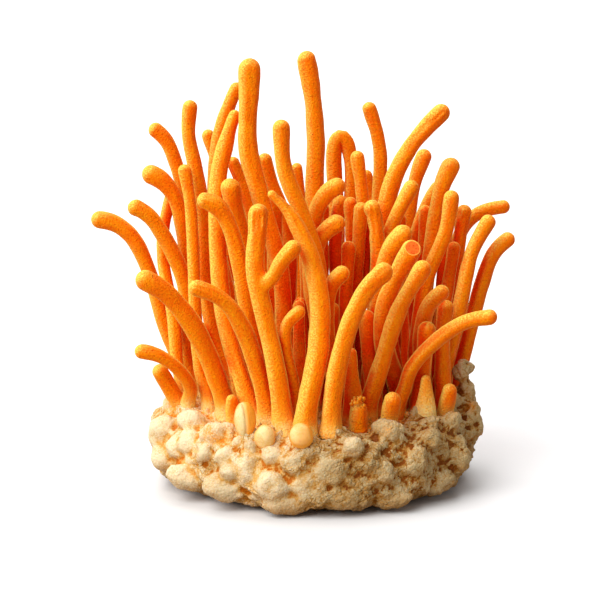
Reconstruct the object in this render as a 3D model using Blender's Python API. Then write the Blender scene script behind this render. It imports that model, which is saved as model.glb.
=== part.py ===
"""Cordyceps militaris: a dense cluster of orange, finger-like stalks on a round cake of overgrown grain.

Metres, +Z up. The origin is the middle of the cake's flat underside, and the side
that the photograph shows faces -Y. Every stalk is a solid of its own, 0.3 mm clear of the cake
and of its neighbours.
"""

import math
import random

import bmesh
import bpy
import numpy as np
from mathutils import Vector

MM = 0.001

# Driving sizes
CAKE_ACROSS = 75 * MM        # the jar that such a cake is grown in
CAKE_HEIGHT = 18 * MM
CLEARANCE = 0.3 * MM         # between solids that touch
STALK_GAP = 0.42 * MM        # kept between two stalks while they settle, a little over the clearance

# The photograph's view, in its frame of 600 x 600 pixels
VIEW_TILT = math.radians(12)     # the eye looks down by this much
VIEW_DISTANCE = 0.78
PIXEL = 0.23 * MM                # what one pixel covers at the middle of the cake
FRAME_MIDDLE = (300, 300)
ORIGIN_PIXEL = (315, 477)        # where the middle of the cake's underside shows
TOP_PIXEL_ROW = 401              # where the middle of its top shows

RIGHT = np.array([1.0, 0.0, 0.0])
FORWARD = np.array([0.0, math.cos(VIEW_TILT), -math.sin(VIEW_TILT)])
UP = np.array([0.0, math.sin(VIEW_TILT), math.cos(VIEW_TILT)])

# Each stalk, from left to right by its tip, and the last ones where there was room left:
# its thickness low down, half way and at the head, in mm,
# where it stands on the cake's top, x and y in mm,
# how deep in the cluster its tip lies, y in mm,
# and its course from the first place where it shows up to the end of its tip, in the photograph's pixels.
STALKS = {
    "stalk_01": ((3.6, 3.6, 3.8), (-30, 11), 8,
                 [(183, 372), (172, 342), (163, 318), (149, 271), (129, 233), (111, 221), (91, 219)]),
    "stalk_02": ((3.7, 3.7, 3.8), (-27, 8), 2,
                 [(190, 370), (189, 310), (181, 272), (164, 237), (146, 213), (128, 205)]),
    "stalk_03": ((3.2, 3.1, 3.1), (-29, -8), -14,
                 [(192, 393), (184, 376), (168, 361), (151, 353), (134, 351)]),
    "stalk_04": ((4.4, 4.4, 4.5), (-20, -13.4), -21,
                 [(222, 393), (208, 355), (182, 310), (159, 287), (136, 276)]),
    "stalk_05": ((3.1, 3.1, 4.2), (-25, 13), 8,
                 [(187, 330), (187, 268), (183, 228), (173, 193), (160, 178), (142, 171)]),
    "stalk_06": ((2.9, 2.9, 2.8), (-30.5, -3), 13,
                 [(179, 385), (170, 308), (162, 270), (161, 232), (171, 192)]),
    "stalk_07": ((2.9, 2.8, 2.9), (-24, -9), 0,
                 [(201, 375), (196, 325), (193, 250), (189, 195), (183, 164)]),
    "stalk_08": ((4.3, 4.1, 3.8), (-10.8, -20.8), -28,
                 [(263, 390), (254, 360), (241, 325), (226, 303), (207, 291), (187, 286)]),
    "stalk_09": ((3.3, 3.4, 3.4), (-17, 2), 6,
                 [(221, 350), (207, 290), (204, 215), (196, 165), (189, 130), (192, 100)]),
    "stalk_10": ((3.9, 3.8, 4.0), (-12, -14), -18,
                 [(262, 385), (251, 328), (240, 268), (229, 226), (214, 203), (196, 199)]),
    "stalk_11": ((2.8, 2.6, 2.8), (-21, 24), 26,
                 [(219, 172), (213, 150), (206, 129)]),
    "stalk_12": ((3.2, 3.0, 4.1), (-14, 1), -10,
                 [(248, 290), (243, 240), (231, 200), (227, 178)]),
    "stalk_13": ((3.4, 3.6, 3.7), (-12, 26), 26,
                 [(253, 215), (241, 181), (231, 157)]),
    "stalk_14": ((3.4, 3.2, 3.5), (-17, 17), 16,
                 [(214, 190), (217, 150), (228, 108), (239, 82)]),
    "stalk_15": ((4.0, 4.0, 3.9), (-14.1, -18), 0,
                 [(247, 392), (230, 338), (221, 280), (218, 215), (220, 172), (228, 138), (237, 110)]),
    "stalk_16": ((4.4, 3.8, 4.6), (-8, -8), -2,
                 [(283, 340), (281, 275), (262, 203), (248, 145), (249, 100), (250, 58)]),
    "stalk_17": ((4.5, 4.0, 4.6), (-6.9, -27.1), -22,
                 [(282, 395), (271, 338), (262, 300), (256, 262), (259, 232), (260, 203)]),
    "stalk_18": ((3.2, 3.1, 3.2), (-8, 14), 13,
                 [(285, 215), (272, 184), (263, 153)]),
    "stalk_19": ((4.7, 4.5, 3.2), (-2.7, -29), -20,
                 [(307, 400), (318, 340), (316, 285), (300, 235), (283, 206), (267, 191)]),
    "stalk_20": ((3.4, 3.2, 3.8), (-1, -14.5), -11.5,
                 [(322, 300), (316, 250), (301, 210), (284, 168), (281, 119)]),
    "stalk_21": ((2.8, 2.6, 2.6), (-2, 24), 24,
                 [(301, 200), (299, 182), (296, 162)]),
    "stalk_22": ((2.9, 2.8, 2.8), (-4, -23), -27,
                 [(294, 385), (286, 350), (287, 322), (304, 308)]),
    "stalk_23": ((4.2, 4.2, 4.1), (0, 2), 2,
                 [(316, 240), (315, 195), (316, 125), (312, 85), (306, 51)]),
    "stalk_24": ((3.4, 3.3, 3.3), (8, 13), 12,
                 [(336, 235), (338, 215), (341, 194)]),
    "stalk_25": ((3.2, 3.2, 3.2), (7, -3), -3,
                 [(341, 285), (343, 262), (344, 239)]),
    "stalk_26": ((3.9, 3.9, 3.9), (3, -2), -11,
                 [(316, 225), (322, 203), (335, 187), (349, 184)]),
    "stalk_27": ((3.4, 3.4, 3.4), (5, -16), -20,
                 [(328, 300), (333, 280), (348, 269)]),
    "stalk_28": ((3.4, 3.5, 2.9), (5, 18), 18,
                 [(336, 205), (334, 168), (334, 151), (336, 141),
                  (341, 136), (346, 141), (349, 151), (351, 206)]),
    "stalk_29": ((3.9, 3.9, 3.9), (6, -4), -9.5,
                 [(321, 255), (330, 231), (351, 218)]),
    "stalk_30": ((3.0, 3.0, 3.0), (8, 1), 2,
                 [(363, 230), (360, 190), (355, 151)]),
    "stalk_31": ((3.1, 3.1, 3.2), (7, -3), -2,
                 [(357, 290), (361, 240), (363, 203)]),
    "stalk_32": ((2.8, 2.8, 2.8), (13, 27), 28,
                 [(373, 210), (370, 190), (365, 170)]),
    "stalk_33": ((3.6, 3.7, 3.7), (13.5, -12.2), -11,
                 [(370, 370), (368, 340), (366, 309)]),
    "stalk_34": ((3.4, 3.4, 4.1), (10.5, -3.5), -8,
                 [(374, 270), (373, 235), (367, 200)]),
    "stalk_35": ((3.4, 3.4, 3.3), (14, 15), 13,
                 [(379, 200), (379, 142), (367, 102)]),
    "stalk_36": ((4.1, 4.3, 4.4), (3.5, -29), -30,
                 [(332, 405), (338, 365), (352, 318), (370, 285), (391, 265)]),
    "stalk_37": ((4.3, 4.3, 4.4), (19.5, -9), -22,
                 [(386, 345), (387, 303), (400, 273), (417, 242)]),
    "stalk_38": ((4.1, 4.1, 4.1), (14.5, -8), -15,
                 [(384, 268), (391, 247), (410, 228)]),
    "stalk_39": ((3.4, 3.4, 3.4), (19, -5), -7,
                 [(385, 240), (396, 213), (413, 181)]),
    "stalk_40": ((4.0, 3.9, 3.9), (11.5, -16.2), -27,
                 [(371, 396), (385, 352), (401, 305), (427, 262)]),
    "stalk_41": ((3.0, 3.0, 3.5), (21, 22), 22,
                 [(409, 215), (415, 180), (427, 149)]),
    "stalk_42": ((3.9, 3.9, 3.8), (23, -10.6), -16,
                 [(419, 390), (423, 355), (426, 321)]),
    "stalk_43": ((3.2, 3.2, 3.2), (25, 14), 14,
                 [(416, 238), (426, 207), (442, 182)]),
    "stalk_44": ((3.6, 3.6, 3.6), (25, -7), -16,
                 [(423, 325), (430, 303), (448, 288)]),
    "stalk_45": ((3.8, 4.1, 3.9), (14, 3), 0,
                 [(382, 225), (392, 180), (414, 140), (447, 106)]),
    "stalk_46": ((3.6, 3.6, 3.6), (29, -9.5), -9,
                 [(443, 330), (445, 315), (447, 300)]),
    "stalk_47": ((3.4, 3.4, 3.4), (23, -4), -3,
                 [(432, 265), (445, 237), (453, 190)]),
    "stalk_48": ((3.0, 3.0, 3.0), (25, 3), 2,
                 [(445, 290), (449, 265), (453, 240)]),
    "stalk_49": ((3.3, 3.3, 4.0), (25, 4), 4,
                 [(437, 240), (441, 210), (447, 184), (459, 159)]),
    "stalk_50": ((3.4, 3.4, 3.4), (29, 8), 6,
                 [(454, 262), (459, 232), (463, 205)]),
    "stalk_51": ((3.4, 3.4, 3.4), (27, -5), 0,
                 [(436, 388), (452, 336), (462, 290), (473, 246), (491, 216)]),
    "stalk_52": ((3.3, 3.4, 3.5), (18.3, -14.3), -24,
                 [(400, 400), (411, 368), (436, 341), (467, 321), (498, 316)]),
    "stalk_53": ((3.2, 3.2, 3.2), (28, 17), 14,
                 [(456, 250), (465, 224), (484, 210), (511, 206)]),
    "stalk_54": ((3.4, 3.5, 3.4), (32, 3), 3,
                 [(462, 360), (474, 312), (485, 272), (497, 247), (514, 235)]),
    "stalk_55": ((3.4, 3.3, 3.3), (-7, 31), 36,
                 [(300, 300), (296, 255), (288, 222)]),
    "stalk_56": ((3.2, 3.3, 3.8), (4, 30), 39,
                 [(350, 330), (366, 280), (376, 250)]),
    "stalk_57": ((3.2, 3.0, 3.5), (-21, 14), 13,
                 [(191, 215), (183, 185), (174, 158), (165, 137), (149, 125)]),
    "stalk_58": ((2.9, 2.9, 2.9), (11, 5), 5,
                 [(355, 270), (352, 235), (351, 197)]),
}

# The side shoot of the thick stalk at the front: its thickness, how far up it leaves, and its course
FORK_OF = "stalk_17"
FORK = "stalk_17_fork"
FORK_THICKNESS = (3.1, 3.3, 3.5)
FORK_LEAVES_AT = 0.665
FORK_TIP_DEPTH = -27
FORK_COURSE = [(278, 265), (299, 242)]
FORK_STUB = 1.2 * MM          # it leaves its trunk straight for this long

# How a stalk is shaped along its length
ROUNDNESS = 2                 # a section of 8 sides
YOUNG_ROUNDNESS = 1           # and of 6 sides
FOOT_FLARE = 1.12             # the foot is this much wider than the stalk
FOOT_RISE = 2.4 * MM          # a stalk leaves the cake upright for this long
LONGEST_STRETCH = 22 * MM     # between two rings where the course is hidden
TIP_RINGS = ((1.15, 1.0), (0.46, 0.83), (0.0, 0.40))   # distance from the end and radius, both in head radii
LAST_RING = 1.75              # no other ring comes nearer to the end than this, in head radii

# How the stalks find room
SETTLE_ROUNDS = 900
LARGEST_STEP = 0.5 * MM       # in one round
SMOOTHING = 0.12              # how much of a ring's push its neighbours share
EASING = 0.004                # how strongly a stalk is drawn back to its planned course in one round
EASED_SHARE = 0.6             # of the rounds, after which nothing draws it back
SURE_ORDER = 0.8 * MM         # stalks planned at least this far apart in depth keep their order
LOOK_AGAIN = 20               # rounds between two looks for neighbours
ROOM = 9 * MM                 # stretches within this of touching count as neighbours
STEP_SHARE = 0.6              # of a missing gap that each of the two gives way
FOOT_REACH = CAKE_ACROSS / 2 - 5 * MM    # no foot stands further out

# The cake's form
CAKE_BULGE = 0.62             # roundness of its edge: 1 is a ball, 0 a drum
TOP_SPREAD = 1.25             # how far out its flat top and underside reach
LUMP_COUNT = 150
LUMP_RADIUS = (3.4 * MM, 5.6 * MM)
LUMP_HEIGHT = 2.3 * MM
RIM_LUMPS = (                 # swellings of the rim: x, y, top and radius in mm
    (-35, -2, 21.5, 9),
    (-30, -12, 19, 8),
    (-30, 17, 20.5, 9),
    (34.5, -2, 24.5, 9.5),
    (31, 13, 22, 9),
    (29, -18, 19.5, 8),
    (4, 33, 20, 9),
    (-17, 29, 19.5, 8),
)
SIDE_LUMPS = (                # swellings and hollows of its side: x, y, z, how far out and radius in mm
    (38, -3, 15, 2.5, 8),
    (37, -4, 4.5, -1.3, 7),
    (-38, -6, 11.5, 2.4, 8),
)
FLAT_AROUND = 3.2 * MM        # around a foot the cake's top is level
LEANING_GAP = 1.4 * MM        # a point of the cake keeps this from a stalk that leans over it
LOWEST_DENT = 3 * MM
DENT_STEP = 0.4 * MM
CAKE_SECTORS = 54
CAKE_BANDS = 13

# Young stalks, still short and grown together with the cake:
# thickness at the foot and at the tip, where each stands, x and y, and where it ends, x, y and z, all in mm.
# The inner ones stand where the cluster shows dense flesh between the others.
YOUNG = {
    "left_bud": ((3.9, 3.7), (-33.0, -5.0), (-36.9, -6.5, 28.0)),
    "front_bud": ((4.0, 3.6), (16.6, -22.5), (17.3, -24.5, 25.8)),
    "right_bud": ((3.6, 3.2), (30.5, -13.5), (31.2, -15.5, 25.5)),
    "small_bud": ((3.0, 2.4), (-18.6, -18.8), (-18.7, -19.2, 24.3)),
    "stump": ((3.9, 3.5), (9.3, -24.0), (9.3, -24.5, 24.3)),
    "pale_cone": ((4.6, 2.2), (24.5, -15.5), (24.4, -15.5, 28.0)),
    "crust_knob": ((5.2, 4.2), (35.2, -3.5), (36.8, -4.2, 28.6)),
    "shy_one": ((3.2, 2.6), (-3.4, -18.8), (-3.7, -18.0, 45.5)),
    "middle_one": ((3.6, 3.0), (2.5, -10.0), (4.1, -11.0, 43.5)),
    "broad_cone": ((4.8, 2.2), (8.6, -21.0), (8.2, -20.0, 35.0)),
    "inner_1": ((3.6, 2.6), (-24.3, 0.8), (-26.7, 0.9, 35.6)),
    "inner_2": ((3.6, 2.6), (-17.0, -6.8), (-18.7, -7.5, 30.0)),
    "inner_3": ((4.0, 2.8), (-15.6, 9.3), (-17.2, 10.3, 45.0)),
    "inner_4": ((4.3, 3.7), (-8.4, 6.4), (-9.5, 6.9, 65.0)),
    "inner_5": ((4.0, 2.9), (-8.6, -0.7), (-9.9, -0.8, 47.0)),
    "inner_6": ((3.2, 2.3), (-7.9, 21.5), (-8.7, 23.6, 42.0)),
    "inner_7": ((4.1, 2.9), (-2.2, -6.1), (-3.1, -6.7, 43.7)),
    "inner_8": ((3.6, 2.8), (1.2, 11.0), (2.4, 12.0, 62.0)),
    "inner_9": ((3.5, 2.5), (17.9, 9.0), (19.7, 9.9, 60.0)),
    "inner_10": ((3.6, 2.8), (24.0, 8.5), (25.2, 9.0, 62.0)),
    "inner_11": ((3.6, 2.8), (27.4, 5.5), (30.1, 6.4, 60.0)),
    "inner_12": ((3.4, 2.8), (30.3, -0.8), (31.5, -0.6, 39.0)),
}
YOUNG_FOOT = 4 * MM           # how far a young stalk reaches down into the cake
YOUNG_FREEDOM = 0.8           # how much of its giving way is sideways, not along the line of sight

FLESH = (0.86, 0.23, 0.015, 1.0)
CRUST = (0.78, 0.60, 0.36, 1.0)


def clear_scene():
    for thing in list(bpy.data.objects):
        bpy.data.objects.remove(thing, do_unlink=True)


def material(name, colour, roughness):
    stuff = bpy.data.materials.new(name)
    stuff.use_nodes = True
    shader = stuff.node_tree.nodes["Principled BSDF"]
    shader.inputs["Base Color"].default_value = colour
    shader.inputs["Roughness"].default_value = roughness
    shader.inputs["Metallic"].default_value = 0.0
    stuff.diffuse_color = colour
    return stuff


def at_depth(pixel, y):
    """The point of the sight line through a pixel that lies at this y."""
    eye = (-FORWARD * VIEW_DISTANCE
           - RIGHT * (ORIGIN_PIXEL[0] - FRAME_MIDDLE[0]) * PIXEL
           + UP * (ORIGIN_PIXEL[1] - FRAME_MIDDLE[1]) * PIXEL)
    ray = (FORWARD * VIEW_DISTANCE
           + RIGHT * (pixel[0] - FRAME_MIDDLE[0]) * PIXEL
           + UP * (FRAME_MIDDLE[1] - pixel[1]) * PIXEL)
    return eye + ray * (y - eye[1]) / ray[1]


def smooth_line(knots, places):
    """Points of a smooth curve through the knots, at these distances along it. It starts upright."""
    knots = np.asarray(knots, float)
    steps = np.linalg.norm(np.diff(knots, axis=0), axis=1)
    marks = np.concatenate([[0.0], np.cumsum(steps)])
    slopes = np.gradient(knots, marks, axis=0)
    slopes[0] = (0.0, 0.0, 1.0)
    span = np.clip(np.searchsorted(marks, places, side="right") - 1, 0, len(steps) - 1)
    length = steps[span][:, None]
    t = ((places - marks[span]) / steps[span])[:, None]
    return ((2 * t**3 - 3 * t**2 + 1) * knots[span]
            + (t**3 - 2 * t**2 + t) * length * slopes[span]
            + (3 * t**2 - 2 * t**3) * knots[span + 1]
            + (t**3 - t**2) * length * slopes[span + 1])


def radius_at(girth, share):
    """Radius of a stalk at a share of its length, from its thickness low down, half way and at the head."""
    low, middle, head = (value * MM / 2 for value in girth)
    flare = 1 + (FOOT_FLARE - 1) * max(0.0, 1 - share / 0.12)
    return float(np.interp(share, (0.1, 0.55, 0.9), (low, middle, head))) * flare


class Rings:
    """One stalk as rings: the middle and the radius of each, and how freely it may move sideways."""

    def __init__(self, name, middles, radii, sideways=None):
        self.name = name
        self.middles = middles
        self.radii = radii
        self.sideways = sideways


def stalk_rings(name):
    """The rings of a stalk from its row in the table, before it has settled among the others."""
    girth, root, tip_depth, course = STALKS[name]
    knots = [np.array([root[0] * MM, root[1] * MM, CAKE_HEIGHT + CLEARANCE])]
    highest = min(pixel[1] for pixel in course)
    for pixel in course:
        share = np.clip((TOP_PIXEL_ROW - pixel[1]) / (TOP_PIXEL_ROW - highest), 0, 1)
        knots.append(at_depth(pixel, (root[1] + (tip_depth - root[1]) * share) * MM))
    knots = np.array(knots)
    marks = distances(knots)
    whole = marks[-1]
    head = girth[2] * MM / 2
    places = [0.0, FOOT_RISE]
    for low, high in zip(marks[:-1], marks[1:]):
        pieces = max(1, math.ceil((high - low) / LONGEST_STRETCH))
        places += [low + (high - low) * k / pieces for k in range(1, pieces + 1)]
    places = [place for place in places if place < whole - LAST_RING * head]
    radii = [radius_at(girth, place / whole) for place in places]
    for back, share in TIP_RINGS:
        places.append(whole - back * head)
        radii.append(share * head)
    places = np.array(places)
    middles = smooth_line(knots, places)
    middles[1, :2] = middles[0, :2]
    sideways = np.sqrt(np.clip(1 - places / marks[1], 0.0, 1.0))
    return Rings(name, middles, np.array(radii), sideways)


def young_rings(name, thickness, root, end):
    """The rings of a young stalk: it rises upright, then tapers straight to its round tip."""
    foot = np.array([root[0] * MM, root[1] * MM, CAKE_HEIGHT + CLEARANCE])
    tip = np.array(end) * MM
    low, head = (value * MM / 2 for value in thickness)
    risen = foot + (0.0, 0.0, FOOT_RISE)
    along = (tip - risen) / np.linalg.norm(tip - risen)
    length = np.linalg.norm(tip - risen)
    middles = [foot, risen]
    radii = [low, low]
    if length > LONGEST_STRETCH:
        middles.append((risen + tip) / 2)
        radii.append(low * 0.65 + head * 0.35)
    for back, share in TIP_RINGS:
        middles.append(tip - along * back * head)
        radii.append(head * share)
    return Rings(name, np.array(middles), np.array(radii), np.full(len(radii), YOUNG_FREEDOM))


def distances(points):
    """How far along a line of points each of them lies."""
    steps = np.linalg.norm(np.diff(points, axis=0), axis=1)
    return np.concatenate([[0.0], np.cumsum(steps)])


def nearest_between(a0, a1, b0, b1):
    """For many pairs of straight stretches, the shares along each where they come closest."""
    u, v, w = a1 - a0, b1 - b0, a0 - b0
    uu, uv, vv = (u * u).sum(1), (u * v).sum(1), (v * v).sum(1)
    uw, vw = (u * w).sum(1), (v * w).sum(1)
    cross = uu * vv - uv * uv
    parallel = 1e-18
    s = np.where(cross > parallel, (uv * vw - vv * uw) / np.maximum(cross, parallel), 0.5)
    s = np.clip(s, 0, 1)
    t = np.clip((uv * s + vw) / vv, 0, 1)
    s = np.clip((uv * t - uw) / uu, 0, 1)
    return s[:, None], t[:, None]


def near_pairs(one, two, start, middles, count):
    """The pairs of stretches that lie close enough to meet in the next rounds."""
    reach = np.zeros(count)
    reach[start] = np.linalg.norm(middles[start + 1] - middles[start], axis=1)
    centre = (middles[one] + middles[one + 1]) / 2
    other = (middles[two] + middles[two + 1]) / 2
    close = np.linalg.norm(centre - other, axis=1) < (reach[one] + reach[two]) / 2 + ROOM
    return one[close], two[close]


def pushes(middles, planned, radii, sideways, a, b):
    """How far each ring has to give way so that the stretches of each pair keep their gap."""
    s, t = nearest_between(middles[a], middles[a + 1], middles[b], middles[b + 1])
    between = middles[b] * (1 - t) + middles[b + 1] * t - middles[a] * (1 - s) - middles[a + 1] * s
    distance = np.linalg.norm(between, axis=1)
    thick_a = radii[a] * (1 - s[:, 0]) + radii[a + 1] * s[:, 0]
    thick_b = radii[b] * (1 - t[:, 0]) + radii[b + 1] * t[:, 0]
    need = thick_a + thick_b + STALK_GAP
    hit = distance < need
    a, b, s, t = a[hit], b[hit], s[hit], t[hit]
    gap, far, want = between[hit], distance[hit], need[hit]
    depth = gap @ FORWARD
    across = np.sqrt(np.maximum(far**2 - depth**2, 0))
    before = (planned[b] * (1 - t) + planned[b + 1] * t - planned[a] * (1 - s) - planned[a + 1] * s) @ FORWARD
    side = np.where(np.abs(before) > SURE_ORDER, np.sign(before), np.where(depth < 0, -1.0, 1.0))
    target = side * np.sqrt(np.maximum(want**2 - across**2, 0))
    along = np.clip(target - depth, -LARGEST_STEP, LARGEST_STEP)[:, None] * FORWARD
    level = gap * (1.0, 1.0, 0.0)
    level /= np.maximum(np.linalg.norm(level, axis=1), 0.001 * MM)[:, None]
    sidestep = level * np.minimum(want - far, LARGEST_STEP)[:, None]
    push = np.zeros_like(middles)
    weight = np.zeros(len(middles))
    for ring, share, sign in ((a, 1 - s, -1), (a + 1, s, -1), (b, 1 - t, 1), (b + 1, t, 1)):
        free = sideways[ring]
        np.add.at(push, ring, sign * STEP_SHARE * (sidestep * free + along * (1 - free)) * share)
        np.add.at(weight, ring, share[:, 0])
    return push / np.maximum(weight, 1.0)[:, None]


def settle(chains):
    """Move stalks apart, mostly along the line of sight, until each pair keeps its gap."""
    middles = np.vstack([chain.middles for chain in chains])
    radii = np.concatenate([chain.radii for chain in chains])
    sideways = np.concatenate([chain.sideways for chain in chains])[:, None]
    owner = np.concatenate([[k] * len(chain.radii) for k, chain in enumerate(chains)])
    first = np.flatnonzero(np.concatenate([[True], owner[1:] != owner[:-1]]))
    last = np.concatenate([first[1:], [len(owner)]]) - 1
    inner = np.setdiff1d(np.arange(len(owner)), np.concatenate([first, last]))
    start = np.flatnonzero(np.concatenate([owner[1:] == owner[:-1], [False]]))
    planned = middles.copy()
    one, two = np.triu_indices(len(start), 1)
    apart = owner[start[one]] != owner[start[two]]
    one, two = start[one[apart]], start[two[apart]]

    for turn in range(SETTLE_ROUNDS):
        if turn % LOOK_AGAIN == 0:
            a, b = near_pairs(one, two, start, middles, len(owner))
        drift = middles + pushes(middles, planned, radii, sideways, a, b) - planned
        evened = drift.copy()
        evened[inner] += SMOOTHING * ((drift[inner - 1] + drift[inner + 1]) / 2 - drift[inner])
        easing = EASING if turn < SETTLE_ROUNDS * EASED_SHARE else 0.0
        middles = planned + evened * (1 - easing)
        for low, high in zip(first, last):
            tip = slice(high - len(TIP_RINGS) + 1, high + 1)
            middles[tip] = planned[tip] + (middles[tip] - planned[tip]).mean(axis=0)
            foot = middles[low]
            foot[:2] *= min(1.0, FOOT_REACH / math.hypot(foot[0], foot[1]))
            foot[2] = CAKE_HEIGHT + CLEARANCE
            middles[low + 1] = foot + (0.0, 0.0, FOOT_RISE)
    for k, chain in enumerate(chains):
        chain.middles = middles[first[k]:last[k] + 1]


def fork_rings(trunk):
    """The side shoot starts just off its trunk and square to it, then bends up to its course."""
    marks = distances(trunk.middles)
    place = FORK_LEAVES_AT * marks[-1]
    base = np.array([np.interp(place, marks, trunk.middles[:, axis]) for axis in range(3)])
    trunk_radius = np.interp(place, marks, trunk.radii)
    course = [at_depth(pixel, FORK_TIP_DEPTH * MM) for pixel in FORK_COURSE]
    lean = (course[0] - base) * (1.0, 1.0, 0.0)
    lean /= np.linalg.norm(lean)
    start = base + lean * (trunk_radius + CLEARANCE)
    middles = [start, start + lean * FORK_STUB, course[0]]
    radii = [value * MM / 2 for value in FORK_THICKNESS]
    tip = course[1]
    along = (tip - course[0]) / np.linalg.norm(tip - course[0])
    for back, share in TIP_RINGS:
        middles.append(tip - along * back * radii[-1])
    radii += [radii[2] * share for back, share in TIP_RINGS]
    return Rings(FORK, np.array(middles), np.array(radii))


def tube(chain, roundness, collection):
    """A tube along a stalk's rings, with its ends closed."""
    curve = bpy.data.curves.new(chain.name, "CURVE")
    curve.dimensions = "3D"
    curve.bevel_depth = 1.0
    curve.bevel_resolution = roundness
    curve.use_fill_caps = True
    spline = curve.splines.new("POLY")
    spline.points.add(len(chain.radii) - 1)
    for point, middle, radius in zip(spline.points, chain.middles, chain.radii):
        point.co = (*middle, 1.0)
        point.radius = radius
    spline.use_smooth = True
    body = bpy.data.objects.new(chain.name, curve)
    body.data.materials.append(material(chain.name, FLESH, 0.5))
    collection.objects.link(body)
    return body


def young_stalk(chain, collection):
    """A young stalk as a closed mesh with its foot inside the cake, ready to be joined to it."""
    chain.middles = np.vstack([chain.middles[0] - (0.0, 0.0, YOUNG_FOOT), chain.middles[1:]])
    line = tube(chain, YOUNG_ROUNDNESS, collection)
    mesh = bpy.data.meshes.new_from_object(line.evaluated_get(bpy.context.evaluated_depsgraph_get()))
    bpy.data.objects.remove(line)
    shape = bmesh.new()
    shape.from_mesh(mesh)
    bmesh.ops.remove_doubles(shape, verts=shape.verts, dist=0.001 * MM)
    shape.to_mesh(mesh)
    shape.free()
    body = bpy.data.objects.new(chain.name, mesh)
    body.hide_render = True
    body.display_type = "WIRE"
    collection.objects.link(body)


def lump_places():
    """Grain lumps spread evenly over the cake, as directions on a ball, each with its radius."""
    dice = random.Random(7)
    golden = math.pi * (3 - math.sqrt(5))
    places = []
    for k in range(LUMP_COUNT):
        z = 1 - 2 * (k + 0.5) / LUMP_COUNT
        turn = golden * k + dice.uniform(-0.12, 0.12)
        level = math.sqrt(1 - z * z)
        direction = Vector((level * math.cos(turn), level * math.sin(turn), z))
        places.append((direction, dice.uniform(*LUMP_RADIUS)))
    return places


def cake_point(direction):
    """The point of the smooth cake in this direction of a unit ball."""
    level = math.hypot(direction.x, direction.y)
    out = (CAKE_ACROSS / 2 - LUMP_HEIGHT) * level ** CAKE_BULGE
    rise = TOP_SPREAD * math.copysign(abs(direction.z) ** CAKE_BULGE, direction.z)
    rise = max(-1.0, min(1.0, rise))
    if level < 1e-6:
        return Vector((0.0, 0.0, (1 + rise) * CAKE_HEIGHT / 2))
    return Vector((direction.x / level * out, direction.y / level * out, (1 + rise) * CAKE_HEIGHT / 2))


def clear_of_stalks(point, chains):
    """Lower a point of the cake's top until it is clear of every stalk above it."""
    for chain in chains:
        foot = chain.middles[0]
        if math.hypot(point.x - foot[0], point.y - foot[1]) < chain.radii[0] + FLAT_AROUND:
            point.z = min(point.z, CAKE_HEIGHT)
    while point.z > CAKE_HEIGHT - LOWEST_DENT:
        nearest = math.inf
        for chain in chains:
            low, high = chain.middles[1:-1], chain.middles[2:]
            run = high - low
            share = ((np.array(point) - low) * run).sum(1) / (run * run).sum(1)
            share = np.clip(share, 0, 1)
            gap = np.linalg.norm(low + run * share[:, None] - np.array(point), axis=1) - chain.radii[1:-1]
            nearest = min(nearest, gap.min())
        if nearest > LEANING_GAP:
            return
        point.z -= DENT_STEP


def cake(chains, collection):
    """A ball, pressed into a thick disc and raised in grain lumps. Its underside stays flat."""
    shape = bmesh.new()
    bmesh.ops.create_uvsphere(shape, u_segments=CAKE_SECTORS, v_segments=CAKE_BANDS, radius=1.0)
    lumps = [(cake_point(direction), radius) for direction, radius in lump_places()]
    for vertex in shape.verts:
        direction = vertex.co.copy()
        point = cake_point(direction)
        if point.z > 0.01 * MM:
            best = 0.0
            for middle, radius in lumps:
                share = (point - middle).length / radius
                if share < 1:
                    best = max(best, 1 - share * share)
            outward = Vector((direction.x, direction.y, 0.0)).normalized()
            level = math.hypot(direction.x, direction.y)
            point += outward * LUMP_HEIGHT * best * min(1.0, level * 1.2)
            if point.z >= CAKE_HEIGHT - 0.01 * MM:
                point.z -= LUMP_HEIGHT * 0.35 * (1 - best)
            for x, y, top, radius in RIM_LUMPS:
                away = math.hypot(point.x / MM - x, point.y / MM - y) / radius
                if away < 1 and direction.z > 0:
                    swell = (1 - away * away) ** 2 * point.z / CAKE_HEIGHT
                    point.z += (top * MM - CAKE_HEIGHT) * swell
            for x, y, z, out, radius in SIDE_LUMPS:
                away = (point / MM - Vector((x, y, z))).length / radius
                point += outward * out * MM * max(0.0, 1 - away * away)
            clear_of_stalks(point, chains)
        vertex.co = point
    bmesh.ops.dissolve_limit(shape, angle_limit=math.radians(0.3), verts=shape.verts, edges=shape.edges)
    bmesh.ops.triangulate(shape, faces=shape.faces)
    mesh = bpy.data.meshes.new("grain_cake")
    shape.to_mesh(mesh)
    shape.free()
    mesh.shade_smooth()
    mesh.set_sharp_from_angle(angle=math.radians(50))
    body = bpy.data.objects.new("grain_cake", mesh)
    body.data.materials.append(material("grain_cake", CRUST, 0.8))
    collection.objects.link(body)
    return body


def build():
    clear_scene()
    cluster = bpy.data.collections.new("cordyceps_militaris")
    helpers = bpy.data.collections.new("young_stalks")
    bpy.context.scene.collection.children.link(cluster)
    bpy.context.scene.collection.children.link(helpers)
    grown = [stalk_rings(name) for name in STALKS]
    young = [young_rings(name, *row) for name, row in YOUNG.items()]
    settle(grown + young)
    trunk = next(rings for rings in grown if rings.name == FORK_OF)
    grown.append(fork_rings(trunk))
    for rings in grown:
        tube(rings, ROUNDNESS, cluster)
    for rings in young:
        young_stalk(rings, helpers)
    union = cake(grown, cluster).modifiers.new("young stalks", "BOOLEAN")
    union.operation = "UNION"
    union.solver = "EXACT"
    union.operand_type = "COLLECTION"
    union.collection = helpers


build()
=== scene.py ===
"""The looks of a cordyceps militaris cluster: velvety orange stalks on a crumbly cake of overgrown grain.

Everything is in metres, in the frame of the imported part: +Z up, the shown side towards -Y.
"""

import math

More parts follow.
